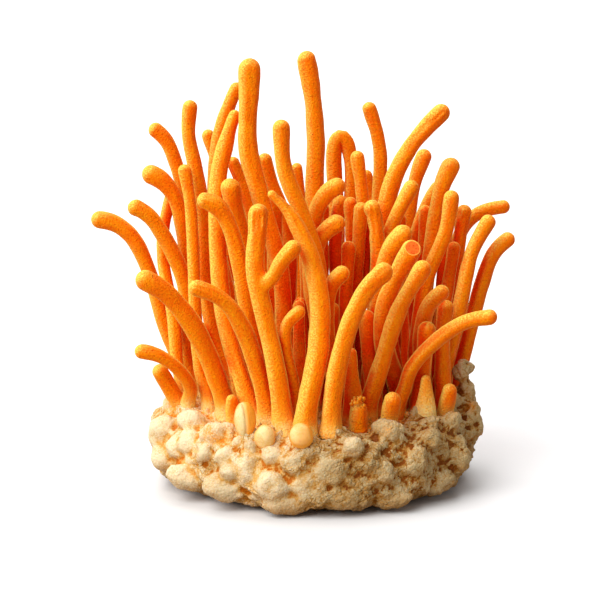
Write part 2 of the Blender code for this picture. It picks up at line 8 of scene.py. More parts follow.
import bmesh
import bpy
import numpy as np
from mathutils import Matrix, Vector
from mathutils.bvhtree import BVHTree
from mathutils.kdtree import KDTree


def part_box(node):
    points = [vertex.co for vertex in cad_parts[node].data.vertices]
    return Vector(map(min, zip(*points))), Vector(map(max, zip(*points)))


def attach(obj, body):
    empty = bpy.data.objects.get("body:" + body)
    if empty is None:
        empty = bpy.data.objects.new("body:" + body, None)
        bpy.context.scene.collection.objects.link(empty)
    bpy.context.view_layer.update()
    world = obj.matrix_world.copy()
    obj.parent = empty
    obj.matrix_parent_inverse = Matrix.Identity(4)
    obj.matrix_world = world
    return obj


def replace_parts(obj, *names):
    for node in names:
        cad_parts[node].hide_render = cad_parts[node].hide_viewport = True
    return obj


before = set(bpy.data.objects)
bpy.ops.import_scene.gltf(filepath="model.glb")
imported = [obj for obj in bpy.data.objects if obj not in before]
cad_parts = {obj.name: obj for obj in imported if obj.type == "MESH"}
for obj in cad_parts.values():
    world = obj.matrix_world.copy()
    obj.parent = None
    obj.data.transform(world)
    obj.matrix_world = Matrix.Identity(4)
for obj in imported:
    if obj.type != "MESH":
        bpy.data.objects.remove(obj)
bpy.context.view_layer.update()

MM = 0.001
CAKE = "grain_cake"
CAKE_LOW, CAKE_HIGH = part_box(CAKE)
STALK_NODES = sorted(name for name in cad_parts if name.startswith("stalk"))
CAKE_TOP = min(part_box(name)[0].z for name in STALK_NODES)

# The photograph's view, in its frame of 600 x 600 pixels
FRAME_PIXELS = 600
VIEW_TILT = math.radians(12)
VIEW_DISTANCE = 0.78
PIXEL = 0.23 * MM            # what one pixel covers at the middle of the cake
ORIGIN_PIXEL = (315, 477)    # where the middle of the cake's underside shows
SENSOR = 36.0

# Stalks
AROUND = 35                  # corners of a stalk's section
RING_STEP = 0.7 * MM
DOME_ROWS = 9                # rings of the round tip, which is as hidden as the flesh below it
SINK = 1.3 * MM              # how far a foot reaches down into the crust
FOOT_LIFT = 1.0 * MM         # how far above the cake's top a foot is wholly pale
FOOT_REACH = (2.2 * MM, 4.2 * MM)    # over what height it then turns orange
HEAD_REACH = 18 * MM         # how far below the tip the head's own tones end
YOUNG_SINK = 3.6 * MM        # and a young stalk's
YOUNG_SHORT = 30 * MM        # no bud or stump reaches higher
WIDEST_STEP = 2.5            # no tube widens by more than this from one ring to the next
LOOK_FROM = 0.5 * MM         # how far off the skin a look at the sky starts
LOOK_REACH = 26 * MM
LOOKS = 12
EVENING = 2.0 * MM           # reach over which a stalk's course is evened
ARCH, ARCH_EVENING = "stalk_28", 0.7 * MM
STOUTER = {ARCH: 1.12}       # thicker all along, by this factor
TAPER_REACH = 10 * MM
TAPERS = {"stalk_15": 0.45, "stalk_19": 0.45, "stalk_14": 0.25, "stalk_13": 0.25}    # what the tip loses
TRUNK = "stalk_17"
FORK = "stalk_17_fork"
FORK_SINK = 1.5 * MM         # how far below where it shows the side shoot starts inside its trunk
FORK_FOOT = 0.3 * MM         # and how much further its skin reaches
FORK_VOXEL = 0.26 * MM
FORK_HOLLOW = 2.6 * MM       # reach of the soft hollow where the two meet
HEAD_SWELL = (0.05, 1.6, 1.2)    # a swelling: its share of the radius, its middle and reach in head radii
HEAD_NECK = (0.06, 5.0, 2.2)     # and a waist below it
FLARE_REACH = 2.2 * MM
STALK_VALUES = ("foot", "head", "tint", "edge", "deep")
WRINKLED = {"stalk_19": 0.42, "stalk_34": 0.46, "stalk_17": 0.30, "stalk_08": 0.18, "stalk_10": 0.20,
            "stalk_02": 0.16, "stalk_36": 0.14, "stalk_13": 0.30, "stalk_23": 0.08, "stalk_50": 0.30,
            "stalk_35": 0.12, "stalk_45": 0.14}    # folds along the head
SLICED = "stalk_37"          # its tip was cut off flat
SLICE_FACES = Vector((0.22, -0.84, 0.50)).normalized()
SLICE_BACK = 0.10            # how far the cut lies behind the head's middle, in head radii

# Three young stalks of their own kind, found by the x and y of their tips in mm: a pale cone, a stump of bare
# flesh with orange crumbs on it, and a knob that is all crust
PALE_CONE = (24.6, -16.6)
STUMP = (9.5, -25.4)
CRUST_KNOB = (36.8, -4.2)
CONE_PALENESS, STUMP_PALENESS, YOUNG_PALENESS = 1.9, 0.1, 0.60
SHORT_SHADE = 0.25           # how much their neighbours' shade counts on the short growths

# The cake
GRAIN_SPACING = 3.1 * MM
GRAIN_TRIES = 9000
GRAIN_RADIUS = (1.9 * MM, 3.7 * MM)
TOP_GRAINS = 0.60            # their size beside those of the rim, as the feet cover them
CRUMB_SPACING = 1.5 * MM
CRUMB_TRIES = 4500
CRUMB_RADIUS = (0.45 * MM, 1.1 * MM)
SKIRT = 1.4 * MM             # the lowest middle of a grain
CRUST_VOXEL = 0.47 * MM      # how finely the crust is meshed
BROAD_ROUNDS = 72            # of smoothing, to find the plain surface under the lumps
HOLLOW_KEPT = 0.55 * MM      # how deep the hollows between them stay
CRUMBS = (                   # the size of crumbs, how far they stand out, their share of the tone, and a seed
    (4.2 * MM, 0.75 * MM, 0.3, 45),
    (2.1 * MM, 0.62 * MM, 0.4, 51),
    (1.1 * MM, 0.34 * MM, 0.3, 61),
)


def scattered_bits(place, seed):
    """A whole number from 0 to 65535 for each whole place, the same each time."""
    mixed = (place[:, 0] * 73856093) ^ (place[:, 1] * 19349663) ^ (place[:, 2] * 83492791) ^ (seed * 2654435)
    mixed = ((mixed ^ (mixed >> 13)) * 1274126177) & 0x7FFFFFFF
    return (mixed ^ (mixed >> 15)) & 0xFFFF


def soft_noise(points, size, seed):
    """Smooth noise from -1 to 1 with features of this size."""
    cell = np.asarray(points) / size + seed * 19.37
    low = np.floor(cell).astype(np.int64)
    share = cell - low
    share = share * share * share * (share * (share * 6 - 15) + 10)
    total = np.zeros(len(cell))
    for corner in range(8):
        step = np.array([corner & 1, (corner >> 1) & 1, corner >> 2])
        weight = np.prod(np.where(step, share, 1 - share), axis=1)
        total += weight * (scattered_bits(low + step, seed) / 32767.5 - 1)
    return total


def cell_noise(points, size, seed):
    """Of many scattered middles the nearest: its distance in sizes, its number from 0 to 1 and its slope."""
    cell = np.asarray(points) / size
    low = np.floor(cell).astype(np.int64)
    nearest = np.full(len(cell), 9.0)
    number = np.zeros(len(cell))
    slope = np.zeros(len(cell))
    for step in np.ndindex(3, 3, 3):
        place = low + np.array(step) - 1
        middle = np.stack([place[:, k] + scattered_bits(place, seed + k) / 65535 for k in range(3)], axis=1)
        away = lengths(middle - cell)
        number = np.where(away < nearest, scattered_bits(place, seed + 7) / 65535, number)
        tilt = np.stack([scattered_bits(place, seed + k) / 65535 - 0.5 for k in (8, 9, 10)], axis=1)
        slope = np.where(away < nearest, (tilt * (cell - middle)).sum(axis=1), slope)
        nearest = np.minimum(nearest, away)
    return nearest, number, slope


def lengths(vectors):
    return np.linalg.norm(vectors, axis=1)


def bell(away, reach):
    return np.exp(-((away / reach) ** 2))


def read_along(places, marks, course):
    """The points of a course at these distances along it."""
    return np.stack([np.interp(places, marks, course[:, axis]) for axis in range(3)], axis=1)


def new_piece(name, vertices, faces, material):
    mesh = bpy.data.meshes.new(name)
    mesh.from_pydata(np.asarray(vertices).tolist(), [], faces)
    mesh.validate()
    mesh.update()
    mesh.shade_smooth()
    mesh.materials.append(material)
    piece = bpy.data.objects.new(name, mesh)
    bpy.context.scene.collection.objects.link(piece)
    return piece


def read(items, name, width, kind=np.float32):
    """One property of all these items, as rows of this width."""
    values = np.zeros(len(items) * width, kind)
    items.foreach_get(name, values)
    return values.reshape(-1, width)


def put(mesh, **layers):
    """Values or vectors at the corners of a mesh, kept under their names for the materials to read."""
    for name, values in layers.items():
        values = np.asarray(values, np.float32)
        kind, key = ("FLOAT", "value") if values.ndim == 1 else ("FLOAT_VECTOR", "vector")
        mesh.attributes.new(name, kind, "POINT").data.foreach_set(key, values.ravel())


def triangles_of(shape):
    """The corners and triangles of a bmesh, as arrays."""
    bmesh.ops.triangulate(shape, faces=shape.faces)
    shape.verts.index_update()
    corners = np.array([v.co for v in shape.verts])
    return corners, np.array([[v.index for v in face.verts] for face in shape.faces])


# Shader building


class Shade:
    """A number that changes over a surface. Sums and products of it become nodes of its material."""

    def __init__(self, socket):
        self.socket = socket

    def reckon(self, kind, one, two):
        return Shade(add(self.socket.id_data, "ShaderNodeMath", {"operation": kind}, (one, two)).outputs[0])

    def __add__(self, other):
        return self.reckon("ADD", self, other)

    def __sub__(self, other):
        return self.reckon("SUBTRACT", self, other)

    def __rsub__(self, other):
        return self.reckon("SUBTRACT", other, self)

    def __mul__(self, other):
        return self.reckon("MULTIPLY", self, other)

    def __rtruediv__(self, other):
        return self.reckon("DIVIDE", other, self)

    __radd__ = __add__

    def clamped(self):
        """Kept between 0 and 1."""
        self.socket.node.use_clamp = True
        return self


def connect(tree, socket, value):
    value = value.socket if isinstance(value, Shade) else value
    if isinstance(value, bpy.types.NodeSocket):
        tree.links.new(value, socket)
    else:
        socket.default_value = value


def feed(tree, sockets, **values):
    """Set or connect these sockets by name. An underscore stands for a space."""
    for key, value in values.items():
        connect(tree, sockets[key.replace("_", " ")], value)


def add(tree, kind, settings=None, values=(), **named):
    """A shader node with its settings, its first inputs in order and others by name."""
    made = tree.nodes.new(kind)
    for key, value in (settings or {}).items():
        setattr(made, key, value)
    for socket, value in zip(made.inputs, values):
        connect(tree, socket, value)
    feed(tree, made.inputs, **named)
    return made


def blend(tree, share, one, two):
    mixed = add(tree, "ShaderNodeMix", {"data_type": "RGBA"})
    for number, value in ((0, share), (6, one), (7, two)):
        connect(tree, mixed.inputs[number], value)
    return mixed.outputs[2]


def remap(tree, value, low, high, out_low=0.0, out_high=1.0):
    settings = {"clamp": True, "interpolation_type": "SMOOTHSTEP"}
    return Shade(add(tree, "ShaderNodeMapRange", settings, (value, low, high, out_low, out_high)).outputs[0])


def spot(tree, name, kind="Fac"):
    """What the mesh says at each spot under this name."""
    return Shade(add(tree, "ShaderNodeAttribute", {"attribute_name": name}).outputs[kind])


def noise(tree, vector, size, detail=2.0, rough=0.5):
    """Noise with features of this size in mm."""
    made = add(tree, "ShaderNodeTexNoise", Vector=vector, Scale=1 / size, Detail=detail, Roughness=rough)
    return Shade(made.outputs["Fac"])


def bump(tree, height, distance, strength=1.0):
    return add(tree, "ShaderNodeBump", Height=height, Strength=strength, Distance=distance).outputs[0]


def rim_facing(tree):
    """How far the surface turns away from the eye."""
    return add(tree, "ShaderNodeLayerWeight", Blend=0.5).outputs["Facing"]


def side_facing(tree, direction, low, high):
    """How far the skin faces this way, from 0 to 1 as it goes from low to high."""
    normal = add(tree, "ShaderNodeNewGeometry").outputs["Normal"]
    along = add(tree, "ShaderNodeVectorMath", {"operation": "DOT_PRODUCT"}, (normal, direction))
    return remap(tree, along.outputs["Value"], low, high)


def millimetres(tree):
    """Places on the object, in mm."""
    where = add(tree, "ShaderNodeTexCoord").outputs["Object"]
    return add(tree, "ShaderNodeVectorMath", {"operation": "SCALE"}, Vector=where, Scale=1 / MM).outputs[0]


def shades(sockets):
    return {socket.name: Shade(socket) for socket in sockets}


def group(name, inputs, outputs):
    """An empty node group with these inputs, given as name and value, and these value outputs."""
    tree = bpy.data.node_groups.new(name, "ShaderNodeTree")
    for label, value in inputs:
        socket = tree.interface.new_socket(label, in_out="INPUT", socket_type="NodeSocketFloat")
        socket.default_value = value
    for label in outputs:
        tree.interface.new_socket(label, in_out="OUTPUT", socket_type="NodeSocketFloat")
    return tree, shades(tree.nodes.new("NodeGroupInput").outputs), tree.nodes.new("NodeGroupOutput").inputs


def place_group(tree, which, **named):
    return shades(add(tree, "ShaderNodeGroup", {"node_tree": which}, **named).outputs)


def velvet_group():
    """Velvet skin: soft mottling, pale dust, dark dots and their low relief. Sizes in mm."""
    tree, given, out = group("Velvet skin", (("Mottle size", 0.7), ("Dot size", 0.9), ("Patch size", 4.0)),
                             ("Mottle", "Dust", "Dots", "Patches", "Relief"))
    here = millimetres(tree)
    mottle = noise(tree, here, given["Mottle size"], 3.0, 0.62)
    fine = noise(tree, here, 0.36, 1.0)
    patches = noise(tree, here, given["Patch size"], 2.0)
    cells = add(tree, "ShaderNodeTexVoronoi", {"feature": "F1"}, Vector=here, Scale=1 / given["Dot size"])
    dots = remap(tree, cells.outputs["Distance"], 0.30, 0.10)
    feed(tree, out, Mottle=remap(tree, mottle, 0.34, 0.66), Dust=remap(tree, fine, 0.40, 0.64), Dots=dots,
         Patches=remap(tree, patches, 0.38, 0.62), Relief=mottle + fine * 0.9 - dots * 0.25)
    return tree


def crumble_group():
    """Floury crumbs: granules of their own tone, with pits and cracks between them. Sizes in mm."""
    tree, given, out = group("Floury crumbs", (("Crumb size", 1.0), ("Patch size", 6.0)),
                             ("Height", "Tone", "Cracks", "Speckle", "Patches"))
    here = millimetres(tree)
    per_crumb = 1 / given["Crumb size"]
    bent = add(tree, "ShaderNodeTexNoise", Vector=here, Scale=per_crumb, Detail=1.0).outputs["Color"]
    shifted = add(tree, "ShaderNodeVectorMath", {"operation": "MULTIPLY_ADD"},
                  (bent, (0.5, 0.5, 0.5), here)).outputs[0]
    cells, edges = (add(tree, "ShaderNodeTexVoronoi", {"feature": which}, Vector=shifted, Scale=per_crumb)
                    for which in ("F1", "DISTANCE_TO_EDGE"))
    feed(tree, out, Height=remap(tree, cells.outputs["Distance"], 0.75, 0.05),
         Tone=add(tree, "ShaderNodeSeparateColor", None, (cells.outputs["Color"],)).outputs[0],
         Cracks=remap(tree, edges.outputs["Distance"], 0.13, 0.01),
         Speckle=remap(tree, noise(tree, here, 0.34, 2.0, 0.7), 0.40, 0.62),
         Patches=remap(tree, noise(tree, here, given["Patch size"], 3.0, 0.6), 0.38, 0.62))
    return tree


def new_material(name):
    material = bpy.data.materials.new(name)
    material.use_nodes = True
    return material, material.node_tree, material.node_tree.nodes["Principled BSDF"]


def waxy(tree, shader, weight, radius, scale):
    """Light that goes some way under the surface."""
    feed(tree, shader.inputs, Subsurface_Weight=weight, Subsurface_Radius=radius, Subsurface_Scale=scale)


# The flesh's colours
ORANGE = (0.98, 0.225, 0.0006, 1)
RED_ORANGE = (0.92, 0.092, 0.0002, 1)
# painted shade where neighbouring stalks hide the sky
DEEP_RED = (0.88, 0.036, 0.0001, 1)
YELLOW_ORANGE = (1.0, 0.40, 0.007, 1)
# pale yellow: the painted highlight on the stalks' lit side and rim, and the paler rind round the cut
HIGHLIGHT_AND_RIND_YELLOW = (1.0, 0.64, 0.100, 1)
DOT_BROWN = (0.50, 0.055, 0.0005, 1)
FOOT_YELLOW = (1.0, 0.48, 0.055, 1)
THREAD_CREAM = (0.98, 0.69, 0.25, 1)
CUT_RED, CUT_ORANGE = (0.74, 0.085, 0.0006, 1), (0.90, 0.17, 0.002, 1)
FLESH_GLEAM, FLESH_VELVET = (1.0, 0.70, 0.25, 1), (1.0, 0.62, 0.12, 1)

# Which way each side of a stalk's skin faces: the side away from the light takes painted shade, and the side,
# edge and crown that face it take a painted highlight
SHADED_SIDE = (0.88, 0.0, -0.47)
LIT_SIDE = (-0.84, -0.06, 0.54)
LIT_EDGE_SIDE = (-0.97, 0.10, 0.22)
LIT_CROWN_SIDE = (-0.20, -0.20, 0.96)

# The crust's dark, middle and pale tones, fresh as at the lit left, and riper and darker with painted shade
# as at the right
AMBER, BROWN = (0.60, 0.150, 0.003, 1), (0.18, 0.038, 0.0005, 1)
HONEY, TAN = (0.73, 0.40, 0.100, 1), (0.36, 0.165, 0.028, 1)
CREAM, PALE_TAN = (0.87, 0.71, 0.45, 1), (0.47, 0.335, 0.160, 1)
GOLDEN_BROWN = (0.46, 0.170, 0.012, 1)
STAIN = (0.94, 0.34, 0.012, 1)
CRUST_GLEAM = (1.0, 0.85, 0.60, 1)

# The smooth kernels' colours
KERNEL_TAN, KERNEL_CREAM = (0.80, 0.50, 0.150, 1), (0.90, 0.66, 0.28, 1)
KERNEL_DUST, KERNEL_GOLD = (0.98, 0.80, 0.46, 1), (0.95, 0.36, 0.020, 1)


def stalk_material(velvet):
    """Fungus flesh: orange, finely mottled, with a speckled painted highlight towards the light, painted
    shade, a painted rim highlight and a paler foot.
    """
    material, tree, shader = new_material("stalk_flesh")
    skin = place_group(tree, velvet, Mottle_size=0.50, Dot_size=0.85, Patch_size=4.5)
    head, foot, deep = (spot(tree, name) for name in ("head", "foot", "deep"))
    streaks = remap(tree, noise(tree, spot(tree, "straight", "Vector"), 0.8, 2.0), 0.34, 0.66)
    tint = spot(tree, "tint") + skin["Patches"] * 0.6
    colour = blend(tree, (tint * 0.35).clamped(), ORANGE, RED_ORANGE)
    colour = blend(tree, (skin["Mottle"] + streaks) * 0.33, colour, YELLOW_ORANGE)
    # painted shade on the side that faces away from the light
    colour = blend(tree, side_facing(tree, SHADED_SIDE, -0.05, 0.95) * 0.80, colour, RED_ORANGE)
    colour = blend(tree, (1.0 - skin["Dust"]) * 0.32, colour, RED_ORANGE)
    colour = blend(tree, skin["Dots"] * (head * 0.40 + 0.08), colour, DOT_BROWN)
    colour = blend(tree, head * skin["Patches"] * 0.45, colour, RED_ORANGE)

    # painted highlight on the side, edge and head crown that face the light, speckled, fading where the stalk
    # is in painted shade
    lit_crown = remap(tree, head, 0.70, 1.0) * side_facing(tree, LIT_CROWN_SIDE, 0.2, 0.9)
    painted_highlight = side_facing(tree, LIT_SIDE, 0.05, 0.95) + lit_crown * 0.35
    painted_highlight = painted_highlight * (skin["Dust"] * 0.80 + 0.36) + side_facing(tree, LIT_EDGE_SIDE, 0.55, 0.95) * 0.45
    painted_highlight = (painted_highlight * remap(tree, deep, 0.90, 0.35)).clamped()
    colour = blend(tree, painted_highlight, colour, HIGHLIGHT_AND_RIND_YELLOW)
    # painted shade where neighbouring stalks hide the sky
    colour = blend(tree, remap(tree, deep, 0.34, 0.90, 0.0, 0.92), colour, DEEP_RED)
    # painted rim highlight towards the outline, stronger among the shaded stalks
    rim = remap(tree, rim_facing(tree), 0.42, 0.82) * remap(tree, deep, 0.15, 0.50, 0.20, 0.75)
    colour = blend(tree, rim, colour, HIGHLIGHT_AND_RIND_YELLOW)
    colour = blend(tree, remap(tree, foot, 0.08, 0.85, 0.0, 0.85), colour, FOOT_YELLOW)
    threads = foot * (skin["Mottle"] * 0.4 + 0.8)
    colour = blend(tree, remap(tree, threads, 0.45, 1.15), colour, THREAD_CREAM)

    feed(tree, shader.inputs, Base_Color=colour, Roughness=skin["Mottle"] * 0.16 + 0.52,
         Normal=bump(tree, skin["Relief"], 0.34 * MM), Specular_IOR_Level=0.09, Specular_Tint=FLESH_GLEAM,
         Sheen_Weight=0.35, Sheen_Roughness=0.30, Sheen_Tint=FLESH_VELVET)
    waxy(tree, shader, 0.10, (1.0, 0.20, 0.02), 0.6 * MM)
    return material


def cut_material(velvet):
    """The cut tip: moist flesh, deeper in the middle, with a paler ring where the skin ends."""
    material, tree, shader = new_material("cut_flesh")
    skin = place_group(tree, velvet, Mottle_size=0.5, Dot_size=0.6, Patch_size=2.0)
    colour = blend(tree, skin["Mottle"], CUT_RED, CUT_ORANGE)
    colour = blend(tree, remap(tree, spot(tree, "edge"), 0.86, 0.99, 0.0, 0.7), colour, HIGHLIGHT_AND_RIND_YELLOW)
    feed(tree, shader.inputs, Base_Color=colour, Roughness=skin["Mottle"] * 0.16 + 0.26)
    waxy(tree, shader, 0.30, (1.0, 0.35, 0.08), 1.0 * MM)
    return material


def crust_material(crumble):
    """Overgrown grain: floury on its crumbs, with painted shade in the hollows and on the undersides, golden
    brown low down, riper and painted darker to the right, stained orange.
    """
    material, tree, shader = new_material("grain_crust")
    grit = place_group(tree, crumble, Crumb_size=0.62, Patch_size=2.6)
    crumbs = place_group(tree, crumble, Crumb_size=1.9, Patch_size=7.0)
    ripe, low, crevice = (spot(tree, name) for name in ("ripe", "low", "crevice"))
    pale = spot(tree, "pale") * remap(tree, ripe, 0.3, 1.0, 1.0, 0.45)
    rough = remap(tree, pale, 0.1, 0.9, 1.0, 0.55)
    cracks = crumbs["Cracks"] * remap(tree, pale, 0.0, 0.8, 0.75, 0.10)
    cracks = cracks * remap(tree, crumbs["Patches"], 0.1, 0.8)
    level = (grit["Tone"] * 0.20 + grit["Speckle"] * 0.30) * rough
    # the crevice terms paint shade into the hollows between crumbs and lumps
    for value, share in ((grit["Height"], 0.12), (crumbs["Tone"], 0.20), (spot(tree, "crumb_tone"), 0.18),
                         (pale, 0.20), (grit["Patches"], 0.10), (cracks, -0.34),
                         (remap(tree, crevice, -0.5, 0.3), -0.25), (remap(tree, crevice, 0.08, 0.75), -1.10)):
        level = level + value * share
    # each tone turns riper and painted darker towards the right
    dark, middle, light = (blend(tree, ripe, fresh, aged)
                           for fresh, aged in ((AMBER, BROWN), (HONEY, TAN), (CREAM, PALE_TAN)))
    colour = blend(tree, remap(tree, level, -0.45, 0.12), dark, middle)
    colour = blend(tree, remap(tree, level, 0.02, 0.66), colour, light)
    # golden brown towards the bottom, with painted shade on the faces turned down
    golden = (low + 0.30 - grit["Speckle"]).clamped()
    colour = blend(tree, low * 0.45 + golden * 0.30, colour, GOLDEN_BROWN)
    stain = spot(tree, "stain") * (grit["Patches"] + 0.35)
    stain = stain - stain * grit["Speckle"] * 0.5
    colour = blend(tree, remap(tree, stain, 0.0, 1.0, 0.0, 0.9), colour, STAIN)
    height = (grit["Height"] + crumbs["Height"] * 0.8) * rough - cracks * 1.2
    feed(tree, shader.inputs, Base_Color=colour, Roughness=grit["Tone"] * 0.34 + 0.42,
         Normal=bump(tree, height, 0.17 * MM), Specular_IOR_Level=0.22, Specular_Tint=CRUST_GLEAM)
    waxy(tree, shader, 0.10, (1.0, 0.45, 0.12), 0.6 * MM)
    return material


def kernel_material(velvet):
    """Smooth cooked grains: pale, a little waxy, golden where the fungus has stained them and at their
    outline, where the gold is painted shade.
    """
    material, tree, shader = new_material("grain_kernel")
    skin = place_group(tree, velvet, Mottle_size=0.6, Dot_size=1.0, Patch_size=3.0)
    colour = blend(tree, skin["Patches"], KERNEL_TAN, KERNEL_CREAM)
    colour = blend(tree, skin["Dust"] * 0.30, colour, KERNEL_DUST)
    # golden painted shade towards the outline, on top of the stained gold
    gold = (spot(tree, "gold") + remap(tree, rim_facing(tree), 0.25, 0.80, 0.0, 0.55)).clamped()
    colour = blend(tree, gold, colour, KERNEL_GOLD)
    colour = blend(tree, skin["Dots"] * 0.15, colour, AMBER)
    feed(tree, shader.inputs, Base_Color=colour, Roughness=skin["Mottle"] * 0.20 + 0.40,
         Normal=bump(tree, skin["Relief"], 0.12 * MM, 0.5))
    waxy(tree, shader, 0.15, (1.0, 0.50, 0.12), 0.8 * MM)
    return material


# Stalks


def caps_of(shape):
    """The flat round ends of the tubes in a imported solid, the widest first, each as its corners."""
    flat = shape.copy()
    bmesh.ops.dissolve_limit(flat, angle_limit=math.radians(0.2), verts=flat.verts, edges=flat.edges)
    caps = []
    for face in flat.faces:
        middle = face.calc_center_median()
        away = [(corner.co - middle).length for corner in face.verts]
        if len(away) in (6, 8) and max(away) < 1.05 * min(away):
            corners = [min(shape.verts, key=lambda v: (v.co - corner.co).length_squared)
                       for corner in face.verts]
            caps.append((face.calc_area(), corners))
    flat.free()
    caps.sort(key=lambda cap: -cap[0])
    return [corners for area, corners in caps]


def rings_from(cap, gaps=0):
    """The middles and radii of a tube's rings from its end on, and their corners. A ring may lack a few."""
    ring = set(cap)
    seen = set()
    middles, radii = [], []
    while len(cap) - gaps <= len(ring) <= len(cap):
        places = np.array([v.co for v in ring])
        radius = lengths(places - places.mean(axis=0)).mean()
        if radii and radius > WIDEST_STEP * radii[-1]:
            break
        middles.append(places.mean(axis=0))
        radii.append(radius)
        seen |= ring
        ring = {edge.other_vert(v) for v in ring for edge in v.link_edges} - seen
        away = {v: (v.co - Vector(middles[-1])).length for v in ring}
        ring = {v for v in ring if away[v] < 1.8 * np.median(list(away.values()))}
    return np.array(middles), np.array(radii), seen


def welded(node):
    shape = bmesh.new()
    shape.from_mesh(node.data)
    bmesh.ops.remove_doubles(shape, verts=shape.verts, dist=0.001 * MM)
    return shape


def stalk_rings(name):
    """The rings of a packed stalk, from its foot to its tip."""
    shape = welded(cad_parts[name])
    rings = rings_from(caps_of(shape)[0], 1)[:2]
    shape.free()
    return rings


def rooted_fork():
    """The side shoot's rings, the first one moved to the middle of its trunk, a little lower down."""
    middles, radii = stalk_rings(FORK)
    trunk = stalk_rings(TRUNK)[0]
    height = middles[0][2] - FORK_SINK
    middles[0] = [np.interp(height, trunk[:, 2], trunk[:, axis]) for axis in range(3)]
    return middles, radii


def fused(shapes, values, voxel, rounds):
    """Overlapping shapes as one soft skin. A corner takes the values of the corner that was nearest to it."""
    places, facing, edges, faces = one_skin(*joined(shapes), voxel)
    before = np.vstack([corners for corners, triangles in shapes])
    finder = KDTree(len(before))
    for number, place in enumerate(before):
        finder.insert(place, number)
    finder.balance()
    nearest = [finder.find(place)[1] for place in places]
    table = np.vstack(values)[nearest]
    return smoothed(places, edges, rounds), edges, faces, smoothed(table, edges, rounds)


def grown_together(trunk, shoot, junction, material):
    """A trunk and its side shoot as one skin, with a soft hollow where they meet."""
    shapes, values = [], []
    for piece in (trunk, shoot):
        mesh = piece.data
        mesh.calc_loop_triangles()
        shapes.append((read(mesh.vertices, "co", 3).astype(float),
                       read(mesh.loop_triangles, "vertices", 3, np.int32)))
        columns = [read(mesh.attributes["straight"].data, "vector", 3)]
        columns += [read(mesh.attributes[name].data, "value", 1) for name in STALK_VALUES]
        values.append(np.hstack(columns))
        bpy.data.objects.remove(piece)
    places, edges, faces, table = fused(shapes, values, FORK_VOXEL, 2)
    near = bell(lengths(places - junction), FORK_HOLLOW)[:, None]
    for _ in range(4):
        places = places * (1 - near) + smoothed(places, edges, 8) * near
    piece = new_piece(TRUNK + "_and_fork_flesh", places, faces.tolist(), material)
    put(piece.data, straight=table[:, :3], **dict(zip(STALK_VALUES, table.T[3:])))
    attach(piece, "root")
    return piece


def bare_cake():
    """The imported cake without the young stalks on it, and the rings of each of those, from foot to tip."""
    shape = welded(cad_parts[CAKE])
    young, taken = [], set()
    for cap in caps_of(shape):
        middles, radii, corners = rings_from(cap)
        if len(radii) >= 3 and middles[0][2] > CAKE_TOP:
            young.append((middles[::-1], radii[::-1]))
            taken |= corners
    bmesh.ops.delete(shape, geom=list(taken), context="VERTS")
    bmesh.ops.holes_fill(shape, edges=[edge for edge in shape.edges if edge.is_boundary], sides=0)
    shape.normal_update()
    corners, faces = triangles_of(shape)
    outward = np.array([v.normal for v in shape.verts])
    shape.free()
    return corners, faces, outward, young


def unit(vector):
    return vector / np.linalg.norm(vector)


def distances(points):
    return np.concatenate([[0.0], np.cumsum(lengths(np.diff(points, axis=0)))])


def curve_through(knots, marks, places):
    """A smooth curve through the knots, read at these distances."""
    slopes = np.gradient(knots, marks, axis=0)
    span = np.clip(np.searchsorted(marks, places, side="right") - 1, 0, len(marks) - 2)
    length = (marks[span + 1] - marks[span])[:, None]
    t = (places - marks[span])[:, None] / length
    return ((2 * t**3 - 3 * t**2 + 1) * knots[span] + (t**3 - 2 * t**2 + t) * length * slopes[span]
            + (3 * t**2 - 2 * t**3) * knots[span + 1] + (t**3 - t**2) * length * slopes[span + 1])


def evened(points, step, over):
    """The same course with its small corners rounded off. Its ends stay."""
    reach = min(int(2.5 * over / step), len(points) - 2)
    offsets = np.arange(-reach, reach + 1)
    weights = np.exp(-0.5 * (offsets * step / over) ** 2)
    weights /= weights.sum()
    before = 2 * points[0] - points[reach:0:-1]
    after = 2 * points[-1] - points[-2:-reach - 2:-1]
    padded = np.vstack([before, points, after])
    return np.stack([np.convolve(padded[:, axis], weights, "valid") for axis in range(3)], axis=1)


def carried_frames(course):
    """The heading and two directions square to it, all along a course, turned as little as possible."""
    heading = np.gradient(course, axis=0)
    heading /= lengths(heading)[:, None]
    side = np.cross(heading[0], (0.0, 1.0, 0.0))
    sides = []
    for ahead in heading:
        side = unit(side - ahead * (side @ ahead))
        sides.append(side)
    sides = np.array(sides)
    return heading, sides, np.cross(heading, sides)


def packed_tree():
    """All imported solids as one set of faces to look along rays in."""
    corners, faces = [], []
    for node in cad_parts.values():
        start = len(corners)
        corners += [v.co.copy() for v in node.data.vertices]
        faces += [[start + k for k in face.vertices] for face in node.data.polygons]
    return BVHTree.FromPolygons(corners, faces)


def sky_directions():
    """Directions spread over the upper half of a ball."""
    dice = np.random.default_rng(3)
    spread = dice.normal(size=(60, 3))
    spread[:, 2] = np.abs(spread[:, 2]) + 0.15
    return spread / lengths(spread)[:, None]


